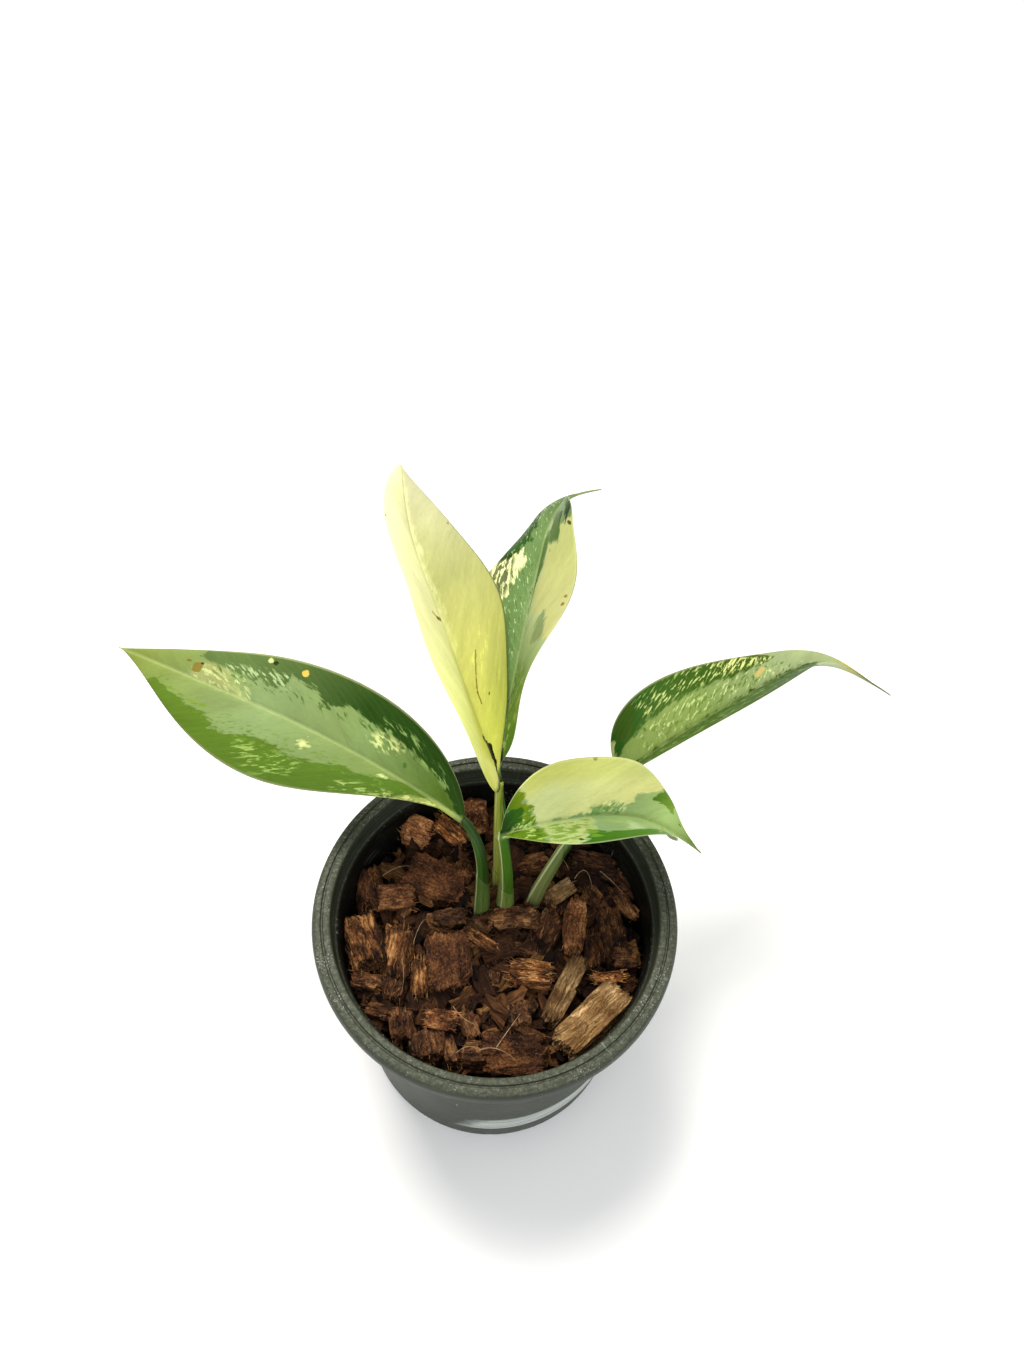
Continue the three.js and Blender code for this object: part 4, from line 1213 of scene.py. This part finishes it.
                (0.35, 0.5), (0.4, 0.45), (0.44, 0.55), (0.44, 0.62), (0.4, 0.75), (0.37, 0.8),
            ]),
            (("#425f21", "#35500d"), (0.62, 0.7), 0.4, [
                (0.618, 0.3), (0.655, 0.25), (0.7, 0.3), (0.69, 0.6), (0.62, 0.6),
            ]),
            # Near black: painted shade in a fold of the blade.
            (("#0d0d0d", "#1d460d"), (0.66, 0.72), 0.3, [
                (0.66, 0.78), (0.685, 0.72), (0.71, 0.78), (0.72, 0.95), (0.69, 1), (0.675, 0.9),
            ]),
            (("#20330f", "#2a4012"), (0.66, 0.72), 0.3, [
                (0.665, 0.55), (0.69, 0.57), (0.685, 0.64), (0.67, 0.62),
            ]),
            (("#8ea074", "#8ea074"), (0, 1), 0.5, [
                (0.64, 0), (0.66, 0.2), (0.68, 0.25), (0.7, 0.1), (0.68, 0),
            ]),
            (("#1e4a0d", "#224019"), (0.58, 0.72), 0.4, [
                (0.555, -0.62), (0.59, -0.52), (0.61, -0.62), (0.63, -0.34), (0.655, -0.5),
                (0.67, -0.32), (0.7, -0.5), (0.74, -0.62), (0.78, -1.2), (0.555, -1.2),
            ]),
            (("#e2e5a5", "#e2e5a5"), (0, 1), 0.4, [
                (0.455, -0.55), (0.47, -0.42), (0.5, -0.45), (0.53, -0.38), (0.56, -0.32),
                (0.585, -0.33), (0.6, -0.5), (0.59, -0.62), (0.565, -0.8), (0.57, -1.2),
                (0.49, -1.2), (0.475, -0.75),
            ]),
            (("#5d7128", "#64763c"), (0.85, 1), 1.2, [
                (0.84, -1.2), (1.1, -1.2), (1.1, 1.2), (0.84, 1.2),
            ]),
            # Black stripe at the base: painted shade where the blade meets the stalks.
            (("#0d0d0d", "#0d0d0d"), (0, 1), 0.6, [
                (0, 1.2), (0.03, 1), (0.07, 0.5), (0.12, 0.15), (0.2, 0), (0.12, 0), (0.06, 0.15),
                (0.02, 0.5), (0, 0.8),
            ]),
        ],
        "speckles": [
            ("#b3c68a", 0.12, (1.8, 0.8), [(0.1, -0.1), (0.8, -0.1), (0.8, -0.9), (0.1, -0.9)]),
            ("#4d6a2a", 0.16, (2.5, 1.3), [(0.1, -0.1), (0.8, -0.1), (0.8, -0.9), (0.1, -0.9)]),
            ("#122a06", 0.62, (1.9, 1.9), [
                (0.46, -0.48), (0.5, -0.46), (0.57, -0.56), (0.6, -0.75), (0.6, -1.1), (0.48, -1.1),
            ]),
            ("#8fa35c", 0.3, (3, 1.2), [(0.05, 0.1), (0.3, 0.05), (0.3, 0.95), (0.05, 0.9)]),
        ],
        "marks": [
            (0.652, 0.92, 0.655, 0.86, 0.5, "#1a1c0a"),
            (0.462, 0.9, 0.463, 0.91, 0.5, "#7a5a2c"),
            (0.482, 0.9, 0.483, 0.91, 0.5, "#7a5a2c"),
            (0.595, 0.36, 0.595, 0.38, 0.5, "#a08f50"),
        ],
    },
    "right": {
        "base": (40.5, 46, 106.5),
        "length": 124,
        "heading": (32, 7, -45),
        "rise": (22, -46, -10),
        "roll": (25, -7),
        "sides": ((23.5, 0.5, 1.85, 30, 10, 0.3, 0.74, 0.9), (19, 0.65, 1.65, 38, 4, 0.3, 0.74, 0.9)),
        "ripple": (0.5, 1.6, -0.25),
        "ground": [
            (0.3, "#6c8243"), (0.6, "#88966a"), (0.76, "#9cab79"), (0.82, "#a39a38"),
            (0.88, "#5c5c24"), (0.95, "#15150a"),
        ],
        "patches": [
            (("#34510d", "#1b400d"), (0.1, 0.65), 0.5, [
                (-0.1, 1.2), (-0.1, 0), (0.1, -0.03), (0.4, -0.03), (0.6, -0.06), (0.66, -0.08),
                (0.71, -0.15), (0.73, -0.1), (0.7, 0.3), (0.66, 0.7), (0.62, 1.2),
            ]),
            (("#18480d", "#334d0d"), (0.15, 0.5), 0.6, [
                (0.02, -0.45), (0.2, -0.48), (0.35, -0.52), (0.45, -0.47), (0.55, -0.6),
                (0.6, -0.75), (0.58, -0.9), (0.5, -1.2), (0.02, -1.2),
            ]),
            (("#2a480e", "#2a480e"), (0, 1), 0.5, [
                (0.05, -0.55), (0.08, -0.5), (0.13, -0.7), (0.16, -0.9), (0.14, -1.2), (0.06, -1.2),
            ]),
            (("#96a163", "#96a163"), (0, 1), 0.5, [
                (0.015, -0.75), (0.035, -0.75), (0.04, -1.2), (0.015, -1.2),
            ]),
        ],
        "speckles": [
            ("#b7c679", 0.25, (3, 1), [
                (0.15, -0.55), (0.55, -0.55), (0.58, -0.85), (0.4, -1), (0.15, -0.9),
            ]),
            ("#4a6a22", 0.3, (2.6, 1.2), [(0.1, -0.08), (0.65, -0.1), (0.6, -0.5), (0.1, -0.45)]),
            ("#b4c583", 0.22, (3, 1), [(0.1, -0.08), (0.7, -0.15), (0.6, -0.5), (0.1, -0.45)]),
            ("#cdd384", 0.4, (4, 1), [
                (0.42, -0.6), (0.55, -0.6), (0.6, -0.75), (0.5, -1), (0.42, -0.9),
            ]),
            ("#93ad68", 0.2, (2.5, 1), [(0.05, 0.1), (0.6, 0.05), (0.6, 0.9), (0.05, 0.9)]),
        ],
        "marks": [
            (0.505, -0.3, 0.535, -0.42, 1.1, "#b5a35e"),
            (0.13, -0.4, 0.131, -0.42, 0.5, "#3f5f26"),
        ],
    },
    "front": {
        "base": (0.5, 9, 126.5),
        "length": 87,
        "heading": (20, 7, -35),
        "rise": (6, -81, 25),
        "roll": (1, 0),
        "sides": (
            (20.5, 0.75, 1.45, 42, -2, 0.35, 0.74, 0.9), (20, 0.95, 1.25, 38, 5, 0.75, 0.62, 0.8)
        ),
        "ripple": (-2.4, 1.8, 0.65),
        "ground": [(0.3, "#728e61"), (0.42, "#7c955e"), (0.75, "#9eb870"), (0.95, "#596e29")],
        "patches": [
            (("#b1b97e", "#d2d185"), (0.2, 0.6), 0.5, [
                (0.125, 0.05), (0.128, -0.1), (0.12, -0.25), (0.11, -0.5), (0.1, -0.75),
                (0.075, -1.2), (0.705, -1.2), (0.7, -0.95), (0.67, -0.75), (0.63, -0.62),
                (0.6, -0.52), (0.57, -0.4), (0.55, -0.28), (0.53, -0.22), (0.49, -0.2),
                (0.45, -0.22), (0.42, -0.18), (0.39, -0.15), (0.36, -0.15), (0.345, -0.06),
                (0.2, -0.02),
            ]),
            (("#b3b85f", "#bec476"), (0.2, 0.6), 3, [
                (0.11, -0.7), (0.4, -0.6), (0.6, -0.75), (0.68, -1), (0.7, -1.2), (0.09, -1.2),
            ]),
            (("#96a569", "#96a569"), (0, 1), 0.5, [
                (0.13, 0), (0.14, 1.2), (0.22, 1.2), (0.255, 0.85), (0.27, 0.7), (0.3, 0.55),
                (0.32, 0.35), (0.345, 0.2), (0.34, 0.03), (0.25, 0.03),
            ]),
            (("#557314", "#557314"), (0, 1), 0.5, [
                (-0.1, 1.2), (-0.1, 0), (0.045, -0.1), (0.08, -0.45), (0.12, -0.45), (0.13, -0.2),
                (0.13, 0.1), (0.14, 0.5), (0.13, 1.2),
            ]),
            (("#47630d", "#697e0d"), (0.05, 0.12), 0.5, [
                (0.03, -1.2), (0.05, -0.6), (0.08, -0.5), (0.108, -0.5), (0.102, -0.75), (0.08, -1.2),
            ]),
            (("#11330d", "#214e0d"), (0.02, 0.07), 0.4, [
                (-0.1, -1.2), (-0.1, -0.02), (0.035, -0.04), (0.055, -0.22), (0.08, -0.28),
                (0.082, -0.55), (0.065, -0.7), (0.045, -0.85), (0.035, -1.2),
            ]),
            (("#2c580d", "#3e710d"), (0.25, 0.52), 0.35, [
                (0.23, 0.95), (0.25, 0.86), (0.265, 0.7), (0.28, 0.55), (0.3, 0.62), (0.33, 0.72),
                (0.4, 0.74), (0.5, 0.72), (0.55, 0.78), (0.53, 1.2), (0.23, 1.2),
            ]),
            (("#557d20", "#557d20"), (0, 1), 0.5, [
                (0.268, 0.8), (0.27, 0.6), (0.28, 0.54), (0.292, 0.6), (0.29, 0.8),
            ]),
            (("#b1c69d", "#809960"), (0.4, 0.5), 0.8, [
                (0.4, 0.7), (0.5, 0.7), (0.47, 0.55), (0.55, 0.3), (0.53, 0.15), (0.48, 0.25),
                (0.43, 0.5),
            ]),
            (("#3b6b0d", "#739233"), (0.66, 0.77), 0.35, [
                (0.655, -0.55), (0.69, -0.6), (0.75, -0.65), (0.78, -0.72), (0.77, -0.9),
                (0.74, -1.2), (0.71, -1.2), (0.69, -0.9), (0.67, -0.75),
            ]),
        ],
        "speckles": [
            ("#5f7c22", 0.5, (2, 1.7), [
                (0.14, 0.1), (0.33, 0.1), (0.28, 0.6), (0.2, 0.95), (0.14, 0.9),
            ]),
            ("#2f4f10", 0.35, (3, 1.8), [
                (0.03, 0.9), (0.02, 0.05), (0.1, -0.3), (0.13, 0.1), (0.13, 0.9),
            ]),
            ("#a6c06c", 0.3, (2.5, 1.5), [
                (0.05, 0.9), (0.05, 0.05), (0.1, -0.3), (0.13, 0.1), (0.13, 0.9),
            ]),
            ("#567d30", 0.5, (2.6, 1), [
                (0.33, 0.02), (0.35, -0.12), (0.4, -0.22), (0.46, -0.27), (0.5, -0.2), (0.5, 0),
            ]),
            ("#cfdc9c", 0.4, (2.6, 0.9), [(0.4, -0.05), (0.42, -0.22), (0.52, -0.26), (0.52, -0.1)]),
            ("#b9cf83", 0.35, (2.2, 1.3), [(0.02, 0.2), (0.05, -0.2), (0.12, -0.4), (0.14, 0.2)]),
            ("#83a258", 0.25, (3, 1.6), [
                (0.35, 0.1), (0.55, -0.1), (0.9, -0.3), (0.9, 0.5), (0.4, 0.7),
            ]),
        ],
        "marks": [
            (0.375, -0.97, 0.376, -0.99, 0.7, "#8a7a35"),
            (0.23, 0.84, 0.231, 0.86, 0.6, "#1d240c"),
            (0.825, -0.71, 0.826, -0.73, 0.8, "#4a6a1e"),
            (0.49, 0.88, 0.6, 0.6, 0.4, "#808f35"),
            (0.6, 0.6, 0.71, 0.5, 0.4, "#808f35"),
            (0.71, 0.5, 0.75, 0.25, 0.4, "#94a450"),
        ],
    },
}


def smooth_step(value, low, high):
    """0 below low, 1 above high, and a smooth S between them."""
    share = np.clip((value - low) / (high - low), 0, 1)
    return share * share * (3 - 2 * share)


def inside_by(points, outline):
    """How far each point is inside a closed outline, negative outside: the distance to the
    nearest side, with its sign from how many sides a line to the right crosses."""
    start = np.array(outline, float)
    side = np.roll(start, -1, axis=0) - start
    to_point = points[:, None] - start
    share = np.clip((to_point * side).sum(-1) / (side**2).sum(-1), 0, 1)
    distance = np.linalg.norm(to_point - share[..., None] * side, axis=-1).min(axis=1)
    y = points[:, None, 1]
    crosses = (start[:, 1] > y) != (start[:, 1] + side[:, 1] > y)
    rise = np.where(side[:, 1] == 0, 1, side[:, 1])
    reach = start[:, 0] + (y - start[:, 1]) * side[:, 0] / rise
    inside = (crosses & (points[:, None, 0] < reach)).sum(axis=1) % 2 == 1
    return np.where(inside, distance, -distance)


def blade_middle(look, along, across):
    """The middle surface of a blade, and how far each point is from the midrib. The midrib is
    the sum of short steps whose heading and rise change evenly, with an extra bend near the
    tip. Each side reaches out by its half width, which goes as along^a (1 - along)^b less its
    pinch, and is at least a rounded tip's, which goes as the root of what is left of the
    length. It is at its fold angle less its curl, and waves up and down with the square of
    the distance from the midrib."""
    tip = smooth_step(along, *TIP_BEND)
    at_base, change, bend = np.radians([look["heading"], look["rise"]]).T[:, :, None]
    heading, rise = at_base + change * along + bend * tip
    roll = np.radians(look["roll"][0] + look["roll"][1] * along)
    ahead = np.stack(
        [np.cos(rise) * np.cos(heading), np.cos(rise) * np.sin(heading), np.sin(rise)], -1
    )
    step = look["length"] / (len(along) - 1)
    steps = np.vstack([[[0, 0, 0]], (ahead[1:] + ahead[:-1]) / 2 * step])
    midrib = np.array(look["base"]) + np.cumsum(steps, axis=0)
    level = np.stack([np.sin(heading), -np.cos(heading), 0 * heading], -1)
    above = np.cross(level, ahead)
    right = level * np.cos(roll)[:, None] + above * np.sin(roll)[:, None]
    up = -level * np.sin(roll)[:, None] + above * np.cos(roll)[:, None]
    away = np.abs(across)
    width = np.zeros((len(along), len(across)))
    wave = np.zeros_like(width)
    angle = np.zeros_like(width)
    height, waves, phase = look["ripple"]
    for side, row in enumerate(look["sides"]):
        half, base_taper, tip_taper, fold, curl, lost, pinch_from, pinch_to = row
        chosen = across > 0 if side else across <= 0
        share = along**base_taper * (1 - along) ** tip_taper
        share = share / share.max() * (1 - lost * smooth_step(along, pinch_from, pinch_to))
        reach = np.maximum(half * share, TIP_ROUNDING[0] * np.sqrt(1 - along) + TIP_ROUNDING[1])
        swing = height * np.sin(2 * np.pi * (waves * along + phase + 0.3 * side)) * share
        width[:, chosen] = reach[:, None]
        wave[:, chosen] = swing[:, None] * across[chosen] ** 2
        angle[:, chosen] = np.radians(fold - curl * away[chosen])
    out = width * across
    sideways = (out * np.cos(angle))[..., None]
    lift = (width * away * np.sin(angle) + wave)[..., None]
    return midrib[:, None] + right[:, None] * sideways + up[:, None] * lift, out


def blade_finish(name, look):
    """Living variegated blade. From the bottom layer up: the ground colour that changes along
    the blade, patches whose edges are broken up along the side veins, flecks, the faint side
    veins and midrib, a soft cloudiness over all of these, small marks, and the paler underside
    and margin. The gloss is low and broad, and tinted so that the pale light round the plant
    doesn't turn its greens blue."""
    made, tree, shader = finish_of(
        "living_variegated_blade_" + name,
        IOR=1.45,
        Specular_IOR_Level=0.14,
        Specular_Tint=linear("#ffff9c"),
    )
    vein = node(tree, "Attribute", output="Vector", attribute_name="vein")
    foot = node(tree, "SeparateXYZ", {0: vein}, output="X")
    away = node(tree, "SeparateXYZ", {0: vein}, output="Y")
    along = node(tree, "Attribute", output="Fac", attribute_name="along")
    wander = node(tree, "TexNoise", {"Vector": vein, "Scale": 0.15, "Detail": 2.0}, "Color")
    drift = node(tree, "VectorMath", {0: wander, "Scale": 3.0}, operation="SCALE")
    bent = node(tree, "VectorMath", {0: vein, 1: drift}, operation="ADD")

    def streaks(long, wide, detail):
        """Noise whose spots are this long along the side veins and this wide across them, in
        mm. The veins slope, so a spot takes up more of the midrib and less of the half width,
        and the two halves of the blade have different spots."""
        scale = (1 / (1.6 * wide), 1 / (0.7 * long), 0.37)
        at = node(tree, "VectorMath", {0: bent, 1: scale}, operation="MULTIPLY")
        settings = {"Vector": at, "Scale": 1.0, "Detail": detail, "Roughness": 0.6}
        return node(tree, "TexNoise", settings)

    broad = streaks(3.0, 2.2, 4.0)
    fine = streaks(1.3, 0.9, 3.0)
    cloud = node(tree, "TexNoise", {"Vector": vein, "Scale": 0.12, "Detail": 3.0})
    stops = look["ground"]
    colour = node(tree, "ValToRGB", {"Fac": along}, stops=[stops[0], stops[-1], *stops[1:-1]])

    # The edge of a patch strays by up to 1.4 mm in broad tongues and by 0.7 mm in fine ones.
    stray = node(tree, "MapRange", {0: broad, 1: 0.25, 2: 0.75, 3: -1.4, 4: 1.4}, clamp=False)
    strays = node(tree, "MapRange", {0: fine, 1: 0.25, 2: 0.75, 3: -0.7, 4: 0.7}, clamp=False)
    edge = node(tree, "Math", {0: stray, 1: strays}, operation="ADD")
    for number, (tones, stretch, soft, _) in enumerate(look["patches"]):
        depth = node(tree, "Attribute", output="Fac", attribute_name=f"patch_{number}")
        depth = node(tree, "Math", {0: depth, 1: edge}, operation="ADD")
        within = node(tree, "MapRange", {0: depth, 1: -soft, 2: soft})
        share = node(tree, "MapRange", {0: along, 1: stretch[0], 2: stretch[1]})
        own = node(tree, "MixRGB", {"Fac": share, "Color1": tones[0], "Color2": tones[1]})
        colour = node(tree, "MixRGB", {"Fac": within, "Color1": colour, "Color2": own})

    # Flecks are where a streaky noise is above a level that falls as more is to be covered.
    for number, (tone, covered, size, _) in enumerate(look["speckles"]):
        depth = node(tree, "Attribute", output="Fac", attribute_name=f"speckle_{number}")
        place = node(tree, "MapRange", {0: depth, 1: -0.8, 2: 1.2})
        spots = streaks(*size, 4.0)
        level = 0.5 + 0.3 * (0.5 - covered)
        spots = node(tree, "MapRange", {0: spots, 1: level - 0.02, 2: level + 0.03, 4: 0.85})
        within = node(tree, "Math", {0: place, 1: spots}, operation="MULTIPLY")
        colour = node(tree, "MixRGB", {"Fac": within, "Color1": colour, "Color2": tone})

    # Side veins as very faint evenly spaced lines, the midrib a faint pale line.
    beat = node(tree, "Math", {0: foot, 1: 2 * np.pi / VEIN_SPACING}, operation="MULTIPLY")
    beat = node(tree, "Math", {0: broad, 1: 2.0, 2: beat}, operation="MULTIPLY_ADD")
    wave = node(tree, "Math", {0: beat}, operation="SINE")
    vein_line = node(tree, "MapRange", {0: wave, 1: 0.8, 2: 1.0, 4: 0.012})
    rib = node(tree, "MapRange", {0: away, 1: 0.8, 2: 0.3, 4: 0.16})
    for covered, tone in ((vein_line, "#e3e6b4"), (rib, "#cdd896")):
        colour = node(tree, "MixRGB", {"Fac": covered, "Color1": colour, "Color2": tone})
    shade = node(tree, "MapRange", {0: cloud, 1: 0.3, 2: 0.7, 3: 0.9, 4: 1.1}, clamp=False)
    mottle = node(tree, "MapRange", {0: fine, 1: 0.3, 2: 0.7, 3: 0.95, 4: 1.05}, clamp=False)
    shade = node(tree, "Math", {0: shade, 1: mottle}, operation="MULTIPLY")
    colour = node(tree, "VectorMath", {0: colour, "Scale": shade}, operation="SCALE")

    # A mark covers what lies within its radius of its line, with a slightly uneven edge.
    flat = node(tree, "Attribute", output="Vector", attribute_name="flat")
    blur = node(tree, "Math", {0: fine, 1: 0.9}, operation="MULTIPLY")
    for u, v, end_u, end_v, radius, tone in look["marks"]:
        start = np.array([u * look["length"], v * FLAT_HALF, 0])
        end = np.array([end_u * look["length"], end_v * FLAT_HALF, 0])
        line = (end - start).tolist()
        offset = node(tree, "VectorMath", {0: flat, 1: start.tolist()}, operation="SUBTRACT")
        run = node(tree, "VectorMath", {0: offset, 1: line}, "Value", operation="DOT_PRODUCT")
        run = node(tree, "MapRange", {0: run, 2: float(np.dot(line, line))})
        on_line = node(tree, "VectorMath", {0: line, "Scale": run}, operation="SCALE")
        gap = node(tree, "VectorMath", {0: offset, 1: on_line}, "Value", operation="DISTANCE")
        gap = node(tree, "Math", {0: gap, 1: blur}, operation="ADD")
        spot = node(tree, "MapRange", {0: gap, 1: radius + 0.6, 2: radius + 0.3, 4: 0.9})
        colour = node(tree, "MixRGB", {"Fac": spot, "Color1": colour, "Color2": tone})

    # The underside is paler and greyer, and the margin is a thin pale line.
    under = node(tree, "Attribute", output="Fac", attribute_name="under")
    pale = node(tree, "Math", {0: under, 1: 0.38}, operation="MULTIPLY")
    margin = node(tree, "Attribute", output="Fac", attribute_name="margin")
    for covered, tone in ((pale, "#a9bb8f"), (margin, "#d9dfa8")):
        colour = node(tree, "MixRGB", {"Fac": covered, "Color1": colour, "Color2": tone})
    tree.links.new(colour, shader["Base Color"])

    # Satin, with the side veins slightly sunken and a fine grain.
    rough = node(tree, "MapRange", {0: broad, 1: 0.3, 2: 0.7, 3: 0.36, 4: 0.48})
    tree.links.new(rough, shader["Roughness"])
    quilt = node(tree, "Math", {0: wave, 1: -0.12, 2: fine}, operation="MULTIPLY_ADD")
    bump = node(tree, "Bump", {"Height": quilt, "Distance": 0.12 * MM, "Strength": 0.6})
    tree.links.new(bump, shader["Normal"])
    return made


along = np.linspace(0, 1, BLADE_ROWS)
half = np.linspace(0, 1, BLADE_HALF + 1) ** BLADE_CROWDING
across = np.concatenate([-half[:0:-1], half])
away = np.abs(across)


def on_both_sides(values, under=None):
    """Values of the upper side, and the same or others for the underside, in the order of the
    skin's points."""
    values = np.broadcast_to(values, (len(along), len(across), values.shape[-1]))
    below = values if under is None else under + 0 * values
    return with_ends(np.concatenate([values, below[:, -2:0:-1]], axis=1))


for name, look in BLADES.items():
    middle, out = blade_middle(look, along, across)
    normal = np.cross(np.gradient(middle, axis=1), np.gradient(middle, axis=0))
    normal /= np.linalg.norm(normal, axis=-1, keepdims=True) + 1e-12

    # The upper side is half the thickness above the middle, less the channel over the midrib,
    # and the underside is as far below it, with the keel added. Both thin out to the margin.
    thick = BLADE_THICK / 2 * (1 - 0.75 * away**8)
    channel = np.exp(-((out / CHANNEL[1]) ** 2)) * CHANNEL[0] * (1 - 0.6 * along)[:, None]
    keel = np.exp(-((out / KEEL[1]) ** 2)) * KEEL[0] * (1 - along)[:, None] ** 0.8
    top = middle + normal * (thick - channel)[..., None]
    bottom = middle - normal * (thick + keel)[..., None]
    rings = np.concatenate([top, bottom[:, -2:0:-1]], axis=1)
    blade = make_piece("blade_" + name + "_living", *skin(rings), blade_finish(name, look))

    # For the finish, at each point: where its side vein leaves the midrib, which is further
    # back the further out the point is, with its distance from the midrib and a number that
    # sets the two halves apart; its place on the flat blade; how far along the blade it is;
    # how far inside each outline; 1 on the underside; and how much it is of the pale margin.
    length_mm = (along * look["length"])[:, None] + 0 * out
    foot = length_mm - np.abs(out) * (1 + 0.03 * np.abs(out))
    vein = on_both_sides(np.stack([foot, np.abs(out), 37.0 * np.sign(out)], -1))
    on_flat = np.broadcast_to(across * FLAT_HALF, out.shape)
    flat = on_both_sides(np.stack([length_mm, on_flat, 0 * out], -1))
    give(blade, "vein", vein)
    give(blade, "flat", flat)
    give(blade, "along", on_both_sides(along[:, None, None])[:, 0])
    for kind, rows in (("patch", look["patches"]), ("speckle", look["speckles"])):
        for number, row in enumerate(rows):
            outline = np.array(row[-1]) * [look["length"], FLAT_HALF]
            give(blade, f"{kind}_{number}", inside_by(flat[:, :2], outline))
    give(blade, "under", on_both_sides(np.zeros((1, 1, 1)), under=1)[:, 0])
    lasting = 1 - smooth_step(along, *MARGIN_FADES)[:, None]
    rim = 0.5 * smooth_step(away, *MARGIN) * lasting
    give(blade, "margin", on_both_sides(rim[..., None])[:, 0])
    face_outwards(blade)
    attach(blade, "root")
    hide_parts("leaf_" + name)
